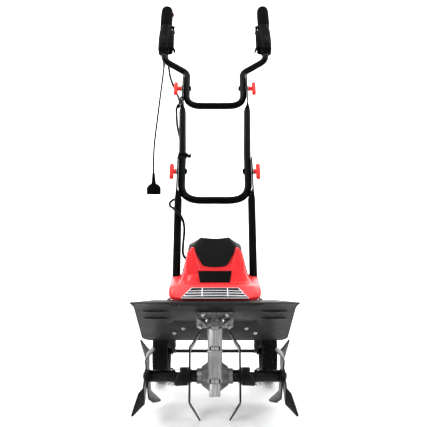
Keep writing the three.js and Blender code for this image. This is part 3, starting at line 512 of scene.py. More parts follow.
def eased(x_from, x_to, t_from, t_to, steps=10):
    """Stations over which a flat tube becomes round."""
    stations = []
    for k in range(1, steps):
        u = k / steps
        ease = u * u * (3 - 2 * u)
        stations.append((x_from + (x_to - x_from) * ease, t_from + (t_to - t_from) * u, 1 - ease))
    return stations


def handle_tubes():
    for name, side in SIDES:
        bm = bmesh.new()
        low = LOWER_PIVOT - 65
        stations = [*flat_end(LOWER_STRIP, LOWER_PIVOT + 50, low),
                    *eased(LOWER_STRIP, 105.8, low, low - 40), (105.8, low - 40), (101.0, -58)]
        add_flat_tube(bm, [(side * s[0], *s[1:]) for s in stations])
        finish_piece(f"lower_bar_{name}", bm, TUBE_PAINT, "chassis", [f"lower_tube_{name}"])
    low = UPPER_PIVOT - 70
    half = [*flat_end(UPPER_STRIP, UPPER_PIVOT + 52, low), *eased(UPPER_STRIP, 103.4, low, low - 36),
            *rounded_line([(103.4, low - 36), (MIDDLE_LEG, LOWER_PIVOT + 55), (97.5, 244.5, 58),
                           (0, 244.5)])]
    bm = bmesh.new()
    add_flat_tube(bm, mirrored(half))
    finish_piece("middle_bar", bm, TUBE_PAINT, "middle_handle", ["middle_u_tube"])
    half = rounded_line([(GRIP_X, 1050), (GRIP_X, 831, 28), (UPPER_LEG, 767, 17),
                         (UPPER_LEG, 616.6, 50), (0, 616.6)])
    bm = bmesh.new()
    add_flat_tube(bm, mirrored(half))
    finish_piece("upper_bar", bm, TUBE_PAINT, "upper_handle", ["upper_u_tube"])


def mirrored(half):
    """A symmetric line from its right half, which ends at the middle."""
    left = [(-station[0], *station[1:]) for station in half[:-1]]
    return [*left, *half[-2::-1]]


# ---- fold knobs and bolts ----
WING_IN = 122.0
WING_OUT = 135.5
WING_ROWS = ((-27, 0.45, 0.4), (-26, 0.75, 0.7), (-23.5, 0.95, 0.92), (-18, 1, 1), (-9, 0.96, 0.98),
             (0, 1.04, 1.12), (9, 0.96, 0.98), (18, 1, 1), (23.5, 0.95, 0.92), (26, 0.75, 0.7),
             (27, 0.45, 0.4))


def fold_knob(fold, name, side, pivot, leg, strip):
    """A wing knob with its stub, bolt and bolt head; they ride on the knob's own body."""
    body = f"{fold}_{name}_knob"
    here = at(HANDLE, 0, pivot, 0)
    bm = bmesh.new()
    middle = (WING_IN + WING_OUT) / 2
    half = (WING_OUT - WING_IN) / 2
    rings = [[(side * (middle + half * thick * c), t, 6.6 * deep * s) for c, s in circle_pairs(24, 0.6)]
             for t, thick, deep in WING_ROWS]
    add_loft(bm, rings, here)
    inner = strip + FLAT_HALF + 2.2
    long = WING_IN - inner
    stub = [(0, 0), (9.3, 0), (9.6, 0.8), (9.2, 2.6), (7.6, 4.2), (7.1, long), (6.4, long + 2),
            (0, long + 2)]
    add_turned(bm, stub, (side * inner, 0, 0), (side * WING_OUT, 0, 0), here, 36)
    finish_piece(f"{fold}_wing_knob_{name}", bm, RED_KNOB, body, [f"{fold}_knob_{name}"])
    bm = bmesh.new()
    add_bar(bm, (side * (leg - TUBE_R - 3), 0, 0), (side * (WING_IN - 2), 0, 0), 3.9, here, 20)
    add_ring(bm, (side * (strip + FLAT_HALF + 0.2), 0, 0), (side * (strip + FLAT_HALF + 1.9), 0, 0), 8.6,
             4.0, here)
    finish_piece(f"{fold}_bolt_{name}", bm, ZINC, body)
    bm = bmesh.new()
    add_turned(bm, [(0, 0), (5.2, 0.4), (8.2, 2.6), (9, 4.4), (9, 5.2), (0, 5.2)],
               (side * (leg - TUBE_R - 5), 0, 0), (side * leg, 0, 0), here, 32)
    finish_piece(f"{fold}_bolt_head_{name}", bm, BLACK, body)


def fold_knobs():
    for name, side in SIDES:
        fold_knob("lower", name, side, LOWER_PIVOT, MIDDLE_LEG, LOWER_STRIP)
    for name, side in SIDES:
        fold_knob("upper", name, side, UPPER_PIVOT, UPPER_LEG, UPPER_STRIP)


# ---- grips, switch boxes, levers, button ----
GRIP_LOW = 998.0
GRIP_HIGH = 1107.0
BOX_LOW = 869.0
BOX_HIGH = 984.0
LEVER_PIVOT = (148.0, 988.0)
BUTTON_T = 1073.0


def grip(name, side):
    bm = bmesh.new()
    long = GRIP_HIGH - GRIP_LOW
    profile = [(0, 0), (20.5, 0), (21.6, 1.2), (21.8, 3), (20.9, 4.2), (21.6, 6)]
    steps = 26
    for k in range(steps + 1):
        u = k / steps
        profile.append((21.2 + 0.7 * math.sin(math.pi * u), 7 + (long - 26) * u))
    profile += [(21.0, long - 17), (20.4, long - 12), (18.8, long - 7), (15.8, long - 3), (11, long - 0.6),
                (0, long)]
    add_turned(bm, profile, (side * GRIP_X, GRIP_LOW, 0), (side * GRIP_X, GRIP_HIGH, 0), HANDLE, 56)
    if side < 0:
        for face in list(bm.faces):
            middle = HANDLE.inverted() @ face.calc_center_median()
            if middle.x > -GRIP_X + 8 and math.hypot(middle.y - BUTTON_T, middle.z) < 9:
                bm.faces.remove(face)
    finish_piece(f"foam_grip_{name}", bm, FOAM, "upper_handle", [f"grip_{name}"])


def box_ring(side, t, inner, outer, deep, power, front):
    """Half a rounded section of the switch box, in front of or behind its seam."""
    middle, half = (inner + outer) / 2, (outer - inner) / 2
    ring = []
    for k in range(17):
        angle = math.pi * k / 16
        x = middle + half * squared(math.cos(angle), 2 / power)
        n = 0.25 + (deep - 0.25) * squared(math.sin(angle), 2 / power)
        ring.append((side * x, t, n if front else -n))
    return ring


def switch_box(name, side):
    sections = ((BOX_LOW - 1, 164, 190, 12, 3), (BOX_LOW, 162, 193, 15, 3),
                (BOX_LOW + 4, 160.5, 196, 18, 3.5),
                (BOX_LOW + 14, 160, 197.5, 19, 4), (BOX_LOW + 60, 160, 198, 19.3, 4),
                (BOX_LOW + 92, 160, 197, 19, 4),
                (BOX_HIGH - 8, 158, 196, 19.5, 3.2), (BOX_HIGH, 155.5, 195, 20, 2.6),
                (GRIP_LOW - 4, 154, 196, 20.8, 2.2), (GRIP_LOW - 0.5, 154, 196, 20.8, 2.2))
    for half, front in (("front", True), ("rear", False)):
        bm = bmesh.new()
        add_loft(bm, [box_ring(side, t, a, b, n, p, front) for t, a, b, n, p in sections], HANDLE)
        out = 1 if front else -1
        if not front:
            for t in (BOX_LOW + 14, BOX_LOW + 62, BOX_LOW + 104):
                add_screw(bm, (side * 186, t, -18.6), (0, 0, -1), 3.2, HANDLE)
        else:
            outline = rounded_box((-9, 9), (BOX_LOW + 22, BOX_LOW + 66), 4)
            add_prism(bm, [(side * 179 + u, v) for u, v in outline], 18.2, 20.2, HANDLE)
        cheek = [(BOX_LOW + 8, 163), (BOX_LOW + 10, 152), (BOX_LOW + 18, 147.4), (BOX_HIGH - 30, 147.4),
                 (BOX_HIGH - 16, 151), (BOX_HIGH - 6, 163)]
        add_prism(bm, [(side * x, t) for t, x in cheek], 12.4 * out, 16.4 * out, HANDLE)
        replaced = [f"switch_box_{name}"] if front else []
        finish_piece(f"switch_shell_{half}_{name}", bm, BLACK, "upper_handle", replaced,
                     bevel=0.5)
    bm = bmesh.new()
    for low, high in ((11.4, 14.4), (-14.4, -11.4)):
        outline = [(side * u, v) for u, v in arc(*LEVER_PIVOT, 6.2, 90, 10)]
        outline += [(side * 168, LEVER_PIVOT[1] - 15), (side * 168, LEVER_PIVOT[1] + 7)]
        add_prism(bm, outline, low, high, HANDLE)
    pivot = (side * LEVER_PIVOT[0], LEVER_PIVOT[1])
    for n in (14.4, -14.4):
        add_bar(bm, (*pivot, n - 0.4), (*pivot, n + 1.0), 2.6, HANDLE, 20)
    finish_piece(f"lever_ears_{name}", bm, BLACK, "upper_handle", bevel=0.5)
    bm = bmesh.new()
    add_ring(bm, (side * GRIP_X, BOX_LOW - 9, 0), (side * GRIP_X, BOX_LOW, 0), 14.2, 11.1, HANDLE)
    finish_piece(f"switch_collar_{name}", bm, BLACK, "upper_handle", bevel=0.6)


def squeeze_lever(name, side):
    line = smooth_line([(148.3, 991, 0), (147.2, 975, 0), (146.2, 950, 0), (146.0, 920, 0), (145.4, 898, 0),
                        (142.6, 884, 0), (138.8, 876.5, 0)], 6)
    rings = []
    for k, point in enumerate(line):
        run = (line[min(k + 1, len(line) - 1)] - line[max(k - 1, 0)]).normalized()
        across = Vector((run.y, -run.x, 0))
        u = k / (len(line) - 1)
        thick = 3.0 - 0.7 * u
        wide = 10.4 - 2.2 * math.sin(math.pi * min(1, u * 1.1)) * (1 if u < 0.9 else 0.5)
        rings.append([(side * (point.x + across.x * thick * c), point.y + across.y * thick * c, wide * s)
                      for c, s in circle_pairs(20, 0.6)])
    bm = bmesh.new()
    add_loft(bm, rings, HANDLE)
    pivot = (side * LEVER_PIVOT[0], LEVER_PIVOT[1])
    add_bar(bm, (*pivot, -10.9), (*pivot, 10.9), 4.5, HANDLE, 32)
    finish_piece(f"squeeze_lever_{name}", bm, BLACK, f"{name}_lever", [f"lever_{name}"],
                 bevel=0.6)


def safety_button():
    bm = bmesh.new()
    x = -GRIP_X
    add_turned(bm, [(0, 0), (6.6, 0), (6.8, 0.5), (6.8, 11.2), (6.2, 12.4), (4.8, 12.9), (0, 13.0)],
               (x + 13, BUTTON_T, 0), (x + 27, BUTTON_T, 0), HANDLE, 36)
    finish_piece("lock_off_button", bm, BUTTON_RED, "button", ["safety_button"])
    bm = bmesh.new()
    add_ring(bm, (x + 9, BUTTON_T, 0), (x + 22.6, BUTTON_T, 0), 9.6, 7.1, HANDLE)
    finish_piece("button_bezel", bm, BLACK, "upper_handle")


# ---- mains lead, plug and motor cable ----
LEAD_Y = 717.0
LEAD = [(-178, LEAD_Y, 824), (-180.2, LEAD_Y, 807), (-184, LEAD_Y, 780), (-188, LEAD_Y, 752),
        (-191.8, LEAD_Y, 725), (-195.8, LEAD_Y, 697), (-199.8, LEAD_Y, 669), (-203.8, LEAD_Y, 641),
        (-208, LEAD_Y, 612), (-212, LEAD_Y, 584), (-215.3, LEAD_Y, 557), (-217.6, LEAD_Y, 530),
        (-219.1, LEAD_Y, 503), (-219.8, LEAD_Y, 478), (-219.9, LEAD_Y, 456)]
LEAD_DIAMETER = 6.5
PLUG_X = -219.9


def strain_relief():
    bm = bmesh.new()
    top, foot = Vector((-176.2, LEAD_Y, 861)), Vector((-178, LEAD_Y, 824.4))
    profile = [(0, 0), (7.6, 0), (7.6, 4), (6.6, 5)]
    for k in range(6):
        along = 7 + k * 4.6
        size = 6.4 - 0.42 * k
        profile += [(size, along), (size, along + 3.0), (size - 1.1, along + 3.4),
                    (size - 1.1, along + 4.2)]
    profile += [(4.0, 35.4), (3.6, 36.4), (0, 36.4)]
    add_turned(bm, profile, top, foot, AXLE, 28)
    return finish_piece("lead_gland", bm, CABLE, "upper_handle", ["lead_strain_relief"])


def mains_plug():
    bm = bmesh.new()
    rings = []
    for z, half, deep in ((377, 22.5, 11), (377.8, 24.2, 12.4), (380, 25, 13), (399, 25, 13),
                          (403, 23.6, 12.6), (409, 19.2, 11.2), (411.5, 16.5, 10.4), (413.5, 12.5, 9.2)):
        rings.append([(PLUG_X + u, LEAD_Y + v, z) for u,
                      v in rounded_box((-half, half), (-deep, deep), 6, 5)])
    add_loft(bm, rings, AXLE)
    for x in (-16, 16):
        for k in range(4):
            add_box(bm, (PLUG_X + x - 4, PLUG_X + x + 4), (LEAD_Y - 13.5, LEAD_Y - 12.5),
                    (382 + 4 * k, 384 + 4 * k), AXLE)
    profile = [(0, 0), (9.4, 0), (9.0, 5)]
    for k in range(7):
        size = 8.2 - 0.5 * k
        along = 8 + k * 4.9
        profile += [(size, along), (size, along + 3.2), (size - 1.2, along + 3.6),
                    (size - 1.2, along + 4.5)]
    profile += [(3.9, 43.6), (3.4, 44.8), (0, 44.8)]
    add_turned(bm, profile, (PLUG_X, LEAD_Y, 411), (PLUG_X, LEAD_Y, 456), AXLE, 28)
    body = finish_piece("mains_plug", bm, BLACK, "upper_handle", ["plug"], bevel=0.5)
    bm = bmesh.new()
    for x in (-9.5, 9.5):
        add_turned(bm, [(0, 0), (2.4, 0), (2.4, 17), (1.6, 19), (0, 19.4)],
                   (PLUG_X + x, LEAD_Y + 11.5, 391),
                   (PLUG_X + x, LEAD_Y + 31, 391), AXLE, 24)
    pins = finish_piece("plug_pins", bm, ZINC, "upper_handle")
    return [body, pins]


def mains_lead():
    gland = strain_relief()
    plug = mains_plug()
    curve = bpy.data.curves.new("mains_cord", "CURVE")
    curve.dimensions = "3D"
    curve.bevel_depth = LEAD_DIAMETER / 2 * MM
    curve.bevel_resolution = 5
    curve.use_fill_caps = True
    line = [AXLE @ p for p in smooth_line(LEAD, 3)]
    spline = curve.splines.new("POLY")
    spline.points.add(len(line) - 1)
    for point, place in zip(spline.points, line):
        point.co = (*place, 1)
    cord = bpy.data.objects.new("mains_cord", curve)
    bpy.context.scene.collection.objects.link(cord)
    curve.materials.append(CABLE)
    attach(cord, "upper_handle")
    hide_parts("mains_lead")


MOTOR_CABLE = {
    "upper": [(-165, 866, -14), (-162.5, 845, -17), (-159, 820, -26), (-153, 785, -33), (-144, 755, -36),
              (-137, 735, -36.5)],
    "upper_bend": [(-137, 735, -36.5), (-129, 712, -37), (-122, 690, -35), (-118, 668, -30),
                   (-117.5, 650, -25.5), (-119.5, 640, -23.5)],
    "middle": [(-119.5, 640, -23.5), (-125, 622, -18), (-124, 600, -13), (-122, 570, -10), (-119, 540, -10),
               (-112, 505, -14), (-104, 465, -17.5), (-99.6, 430, -18.2), (-99.4, 400, -18.2),
               (-98.2, 350, -16.5), (-98.7, 306, -17)],
    "lower_bend": [(-98.7, 306, -17), (-103, 285, -21), (-113, 267, -21), (-124, 258, -19),
                   (-130.4, 245, -14), (-129, 231, -7), (-122.5, 218, 3), (-117, 210, 9.5)],
    "lower": [(-117, 210, 9.5), (-106, 192, 16.5), (-93, 176, 15.5), (-87, 160, 9), (-84.8, 142, 4),
              (-86, 112, 2), (-87.2, 88, 2), (-86.8, 70, 2), (-83, 58, 2), (-74, 46, 2)],
}
CABLE_R = 3.7


def motor_cable():
    """One smooth cable in five stretches; the two that cross a fold are left where they lie, on no body."""
    def place(x, t, n):
        return HANDLE @ Vector((x, t, n))

    bends = {"upper_bend": ("middle_handle", "upper_handle", place(-118, 655, -25), place(-134, 728, -36)),
             "lower_bend": ("chassis", "middle_handle", place(-117, 214, 5), place(-99, 303, -17))}
    bodies = {"upper": "upper_handle", "middle": "middle_handle", "lower": "chassis"}
    whole = [p for name in MOTOR_CABLE for p in MOTOR_CABLE[name][(0 if name == "upper" else 1):]]
    line = smooth_line(whole, 8)
    start = 0
    for name, points in MOTOR_CABLE.items():
        count = 8 * (len(points) - 1)
        bm = bmesh.new()
        add_sweep(bm, line[start:start + count + 1], CABLE_R, HANDLE, 18)
        start += count
        finish_piece(f"motor_lead_{name}", bm, CABLE, bodies.get(name),
                     [f"motor_cable_{name}"], blend=bends.get(name))


def cable_clips():
    bm = bmesh.new()
    leg = -MIDDLE_LEG - 0.2
    add_ring(bm, (leg, 404, 0), (leg, 418, 0), 14.0, 11.3, HANDLE)
    add_ring(bm, (-99.4, 404, -18.2), (-99.4, 418, -18.2), 6.3, 3.9, HANDLE, 32)
    add_box(bm, (leg + 8, leg + 20), (405.5, 416.5), (-1.5, 4.5), HANDLE)
    add_bar(bm, (leg + 20, 411, -5), (leg + 20, 411, 8.5), 6.4, HANDLE, 32)
    finish_piece("leg_clip", bm, BLACK, "middle_handle", ["cable_clip_middle"], bevel=0.5)
    bm = bmesh.new()
    add_screw(bm, (leg + 20, 411, 8.4), (0, 0, 1), 4.2, HANDLE)
    add_hex(bm, (leg + 20, 411, -5), (0, 0, -1), 4.2, 3, HANDLE)
    finish_piece("leg_clip_screw", bm, ZINC, "middle_handle")
    bm = bmesh.new()
    add_box(bm, (-112.5, -108.6), (634.5, 641.5), (-25, 17.5), HANDLE)
    add_box(bm, (-103.6, -101), (634.5, 641.5), (-20, 17.5), HANDLE)
    add_box(bm, (-112.5, -101), (634.5, 641.5), (17.2, 19.4), HANDLE)
    add_box(bm, (-112.5, -101), (634.5, 641.5), (-20, -17.4), HANDLE)
    add_ring(bm, (-121.3, 634.2, -21.8), (-119, 641.8, -24.2), 6.6, 4.0, HANDLE, 32)
    finish_piece("strap_clip", bm, BLACK, "middle_handle", ["cable_clip_upper"], bevel=0.5)


# ---- motor housing, cap, grille, badge ----
# level sections: height, half width, front, rear, and how square the corners are
HOUSING = ((199, 114, -15, 139, 7), (206, 115, -16, 140, 7), (209, 116, -12, 141, 7),
           (214, 115.8, -4.5, 142, 7), (221, 113, 8, 145, 7), (225, 105, 14, 146.5, 6.5),
           (228, 92, 19, 148, 6), (232, 88, 23, 149, 5.8), (236, 86, 27, 150, 5.5),
           (247, 81.5, 33, 155, 5.5), (259, 79, 40, 158, 5), (270, 77, 45, 161, 4.5), (290, 72, 50, 164, 4),
           (308, 67, 55, 164, 3.6))
CAP = ((303, 69.4, 52.2, 166, 5), (305, 69.2, 52.4, 165.6, 5), (307.5, 68.0, 52.6, 165, 5),
       (310, 65.4, 53.2, 163.6, 5), (337, 40.8, 60.4, 148, 5), (339.6, 38, 61.8, 145, 5),
       (340.4, 35.6, 63.6, 142, 5), (339.8, 31, 68, 136, 5), (337.4, 17, 84, 120, 4))
# height, middle (x, y), half width and half depth
SHOULDER = ((236, 49, 40, 20, 7), (250, 52, 45, 21, 8.6), (262, 54, 48.5, 20.5, 10), (275, 55, 51, 18.5, 9),
            (290, 56.5, 54, 14.5, 7.6), (302, 57, 56.2, 10.5, 6.4), (309, 56.6, 57, 7.6, 5.2),
            (313, 56, 57.6, 5, 4), (315.5, 55.4, 58, 2.2, 2))


def level_ring(z, half, front, rear, power, inset=0.0, count=96):
    middle, deep = (front + rear) / 2, (rear - front) / 2 - inset
    ring = []
    for c, s in circle_pairs(count):
        size = (abs(c) ** power + abs(s) ** power) ** (-1 / power)
        ring.append(((half - inset) * c * size, middle + deep * s * size, z))
    return ring


def eased_sections(sections, steps=4):
    """Sections with smooth ones put between them."""
    padded = [sections[0], *sections, sections[-1]]
    line = []
    for span in zip(padded, padded[1:], padded[2:], padded[3:]):
        for k in range(steps):
            line.append(tuple(spline_point(*values, k / steps) for values in zip(*span)))
    return [*line, sections[-1]]


def motor_shell():
    bm = bmesh.new()
    outer = [level_ring(*section) for section in eased_sections(HOUSING)]
    inner = [level_ring(*section, 3.0) for section in reversed(eased_sections(HOUSING, 1))]
    add_loft(bm, [*outer, *inner, outer[0]], AXLE, (False, False))
    for name, side in SIDES:
        profile = [(11.7, 0), (14.2, 0), (14.8, 1.5), (15, 6), (15, 15), (14.4, 20), (13.4, 23),
                   (11.7, 24), (11.7, 0)]
        add_turned(bm, profile, (side * 101.3, -32, 0), (side * 102.0, 8, 0), HANDLE, 48)
    finish_piece("motor_shell", bm, RED, "chassis", ["motor_housing"], angle=30)
    for name, side in SIDES:
        bm = bmesh.new()
        rings = [[(side * (x + wide * c), y + deep * s, z) for c, s in circle_pairs(28)]
                 for z, x, y, wide, deep in SHOULDER]
        add_loft(bm, rings, AXLE)
        finish_piece(f"shell_shoulder_{name}", bm, RED, "chassis", angle=60)
    bm = bmesh.new()
    for side in (-1, 1):
        for k in range(6):
            z = 238 + 9 * k
            y = 84 + 3.5 * k
            half = 84.6 - 2.3 * k
            add_box(bm, sided(side, half - 3, half + 0.6), (y, y + 46), (z, z + 4.2), AXLE)
    finish_piece("side_vents", bm, DARK, "chassis", bevel=0.8)
    bm = bmesh.new()
    for k in range(7):
        add_box(bm, (-34, 34), (146 + 2.1 * k, 151.4 + 2.1 * k), (232 + 9 * k, 236.2 + 9 * k), AXLE)
    finish_piece("rear_vents", bm, DARK, "chassis", bevel=0.8)


def cap():
    bm = bmesh.new()
    outer = [level_ring(*section) for section in eased_sections(CAP, 3)]
    rings = []
    for ring in [level_ring(300, 66, 55.5, 163, 3.6), *outer]:
        rings.append([])
        for x, y, z in ring:
            high = min(max((z - 308) / 30, 0), 1)
            fall = 0.17 * max(y - 60, 0) + 3.6 * high * (1 - min(abs(x) / 36, 1) ** 2)
            rings[-1].append((x, y, z - high * fall))
    add_loft(bm, rings, AXLE)
    finish_piece("motor_cap", bm, CAP_BLACK, "chassis", ["top_cap"], angle=30)
    outline = [(-51, 5), (-48, -3), (-38, -24), (-33, -32.5), (-27, -37.4), (-15, -39.6), (0, -40.2)]
    outline += [(-x, y) for x, y in outline[-2::-1]]
    tilt = at(AXLE, 0, 52.6, 307) @ Matrix.Rotation(math.radians(76), 4, "X")
    bm = bmesh.new()
    add_plate(bm, outline, [], -3.6, 1.6, tilt, 1.1)
    finish_piece("cap_tongue", bm, CAP_BLACK, "chassis", angle=30)


def trim_frame(low, high):
    """A frame whose second axis runs up the shell's face between two (depth, height) points."""
    return at(AXLE, 0, *low) @ turned_to((0, high[0] - low[0], high[1] - low[1]))


def front_trim():
    where = trim_frame((-16, 206), (10, 224))
    outer = [(-83.5, -5), (83.5, -5), (57.5, 28.6), (-57.5, 28.6)]
    inner = [(-81, -3), (81, -3), (56.3, 27.2), (-56.3, 27.2)]
    bm = bmesh.new()
    add_plate(bm, outer, [inner[::-1]], 0.4, 4.0, where, 0.5)
    finish_piece("grille_rim", bm, CHROME, "chassis", ["front_grille"])
    bm = bmesh.new()
    for y, deep in ((3.0, 3.8), (11.2, 3.4), (18.8, 3.0)):
        half = 78.6 - (y + 1) * 0.79
        steps = 24
        rings = []
        for k in range(steps + 1):
            x = -half + 2 * half * k / steps
            bow = 1.6 * (1 - (x / half) ** 2)
            section = [(-deep / 2, 2.6), (-deep / 2 + 0.4, 3.6), (0, 4.6), (deep / 2 - 0.4, 4.2),
                       (deep / 2, 3.4), (deep / 2, 2.6)]
            rings.append([(x, y + bow + v, w) for v, w in section])
        add_loft(bm, rings, where)
    for x in (-31, 31):
        outline = [(x - 1.1, 0.6), (x + 1.1, 0.6), (x + 0.9, 27.4), (x - 0.9, 27.4)]
        add_prism(bm, outline, 1.8, 4.9, where)
    finish_piece("grille_slats", bm, CHROME, "chassis", bevel=0.3, segments=1)
    bm = bmesh.new()
    add_plate(bm, inner, [], 0.1, 1.6, where, 0.2)
    finish_piece("grille_back", bm, DARK, "chassis")
    where = trim_frame((25, 233), (40, 259))
    bm = bmesh.new()
    add_plate(bm, [(-37, 0), (37, 0), (42, 29.4), (-42, 29.4)], [], 0.2, 2.6, where, 0.7)
    finish_piece("badge", bm, BADGE, "chassis", ["name_plate"])


# ---- guard and bracket ----
GUARD_LOW_S = -139.0
GUARD_HIGH_S = 95.7
GUARD_HALF = 203.0
GUARD_FLAT_HALF = 195.5
GUARD_SLOPE = math.atan2(156, 175)  # the guard's rise over its run
GUARD_BOLTS = ((-30, 38), (30, 38), (-36.5, -36), (36.5, -36))


def guard():
    bm = bmesh.new()
    low, high = GUARD_LOW_S, GUARD_HIGH_S
    half = GUARD_FLAT_HALF
    corner = 22
    right = []
    for k in range(9):
        a = math.radians(90 * k / 8)
        right.append((half - corner + corner * math.sin(a), low + corner - corner * math.cos(a)))
    for k in range(9):
        u = k / 8
        right.append((half + (GUARD_HALF - half) * u ** 2.4, high - 36 * (1 - u)))
    outline = right + [(-x, s) for x, s in right[::-1]]
    holes = [circle(0, -1, 27.5, 48)]
    holes += [circle(x, -9.4, 2.6, 16) for x in (-101, 101)]
    add_plate(bm, outline, [h[::-1] for h in holes], -SHEET_HALF, SHEET_HALF, GUARD, 0.35)
    fold = at(GUARD, 0, high, 0) @ Matrix.Rotation(GUARD_SLOPE, 4, "X")
    flange = [(-150, -20), (150, -20), (GUARD_HALF - 1, 0), (-GUARD_HALF + 1, 0)]
    add_plate(bm, flange, [], -SHEET_HALF, SHEET_HALF, fold, 0.4)
    skirt = at(GUARD, 0, high, 0) @ Matrix.Rotation(GUARD_SLOPE - math.pi / 2, 4, "X")
    notched = [(-96, -9), (-88, -9), (-87.2, -4.6), (-84.8, -4.6), (-84, -9)]
    notched += [(-x, v) for x, v in notched[::-1]]
    add_plate(bm, [*notched, (128, 0.6), (-128, 0.6)], [], -SHEET_HALF, SHEET_HALF, skirt, 0.4)
    add_bar(bm, (-GUARD_HALF + 0.6, high, 0), (GUARD_HALF - 0.6, high, 0), 1.5, GUARD, 20, 0.3)
    finish_piece("soil_guard", bm, GUARD_PAINT, "chassis", ["tine_guard"], angle=35)
    bm = bmesh.new()
    line = [(x, s, 0.3) for x, s in right[::-1]] + [(-x, s, 0.3) for x, s in right]
    add_sweep(bm, line, 1.7, GUARD, 12)
    finish_piece("guard_rolled_edge", bm, STEEL_PAINT, "chassis")
    bm = bmesh.new()
    for side in (-1, 1):
        for s, start in ((47, 114), (5, 115)):
            louvre(bm, side, s, start)
    finish_piece("guard_louvres", bm, [GUARD_PAINT, DARK], "chassis")
    bm = bmesh.new()
    for x, s in ((82, -57), (-82, -57), (107, -88), (-107, -88)):
        head = [(0, 0), (4.2, 0), (4.2, 1.6), (3.2, 3.0), (1.6, 3.6), (0, 3.7)]
        sheet_bolt(bm, (x, s), (1.3, 2.2), (5.6, 3.0), head, 4.9)
    finish_piece("guard_bolts", bm, ZINC, "chassis")


def sheet_bolt(bm, spot, washer, radii, head, nut):
    """A bolt through the guard: a washer and a round head above it, a nut below."""
    low, high = washer
    add_ring(bm, (*spot, low), (*spot, high), *radii, GUARD, 28, 0.2)
    add_turned(bm, head, (*spot, high - 0.1), (*spot, high + 1), GUARD, 24)
    add_hex(bm, (*spot, -1.3), (0, 0, -1), nut, 3.6, GUARD)


LOUVRE_LONG = 64


def louvre(bm, side, s, start):
    """A pressed louvre: a shallow blister that is open along its upper edge."""
    steps = 16
    outer, mouth = [], []
    for k in range(steps + 1):
        u = k / steps
        x = side * (start + LOUVRE_LONG * u)
        rise = math.sin(math.pi * min(max(u, 0.02), 0.98)) ** 0.45
        outer.append([(x, s + 4.6, 1.0), (x, s + 4.6, 1.4 + 3.0 * rise), (x, s + 1.5, 1.5 + 2.6 * rise),
                      (x, s - 4.2, 1.35 + 0.5 * rise), (x, s - 6.5, 1.0)])
        top = 0.8 + 3.0 * rise
        mouth.append([(x, s + 4.85, 1.0), (x, s + 4.85, top), (x, s + 4.75, top), (x, s + 4.75, 1.0)])
    add_loft(bm, outer, GUARD)
    add_loft(bm, mouth, GUARD, slot_index=1)


def guard_bracket():
    bm = bmesh.new()
    base = [(-45, -46), (45, -46), (47, -42), (47, 42), (43, 48), (-43, 48), (-47, 42), (-47, -42)]
    add_plate(bm, base, [circle(0, -6, 24.3, 48)[::-1]], 1.5, 5.6, GUARD, 0.6)
    front = [(-19.5, 1.6), (19.5, 1.6), (19.5, 29), (17.5, 31), (-17.5, 31), (-19.5, 29)]
    stand = at(GUARD, 0, 27, 0) @ Matrix.Rotation(math.radians(90), 4, "X")
    holes = [rounded_box((x - 3.4, x + 3.4), (8, 20), 1.2, 3)[::-1] for x in (-12.5, 12.5)]
    add_plate(bm, front, holes, -3, 2.6, stand, 0.6)
    add_plate(bm, [(-19.5, -28), (19.5, -28), (19.5, 28), (-19.5, 28)],
              [rounded_box((-17.4, 17.4), (-26.6, 20), 2, 3)[::-1]],
              27, 30, GUARD, 0.6)
    for side in (-1, 1):
        add_prism(bm, [(side * 46, 40), (side * 46, 36.5), (side * 20, -16), (side * 17, -16),
                       (side * 17, -10), (side * 43, 40)], 5.4, 14, GUARD)
        add_prism(bm, [(side * 46, 43.5), (side * 46, 40), (side * 18, 26), (side * 18, 30)], 5.4, 13,
                  GUARD)
    finish_piece("column_bracket", bm, BRACKET_PAINT, "chassis", ["guard_bracket"],
                 bevel=0.5)
    bm = bmesh.new()
    for x, s in GUARD_BOLTS:
        head = [(0, 0), (4.8, 0), (4.8, 2.2), (3.8, 3.6), (2, 4.2), (0, 4.3)]
        sheet_bolt(bm, (x, s), (5.7, 6.9), (6.4, 3.2), head, 5.2)
    finish_piece("bracket_bolts", bm, ZINC, "chassis")


# ---- gear column ----
WHEEL_LINE = (26.3, 12.3)  # the worm wheel's middle, across and along the column
CASE_LUGS = ((-22, 76), (22, 76), (-22, 128), (22, 112), (-24, -2))


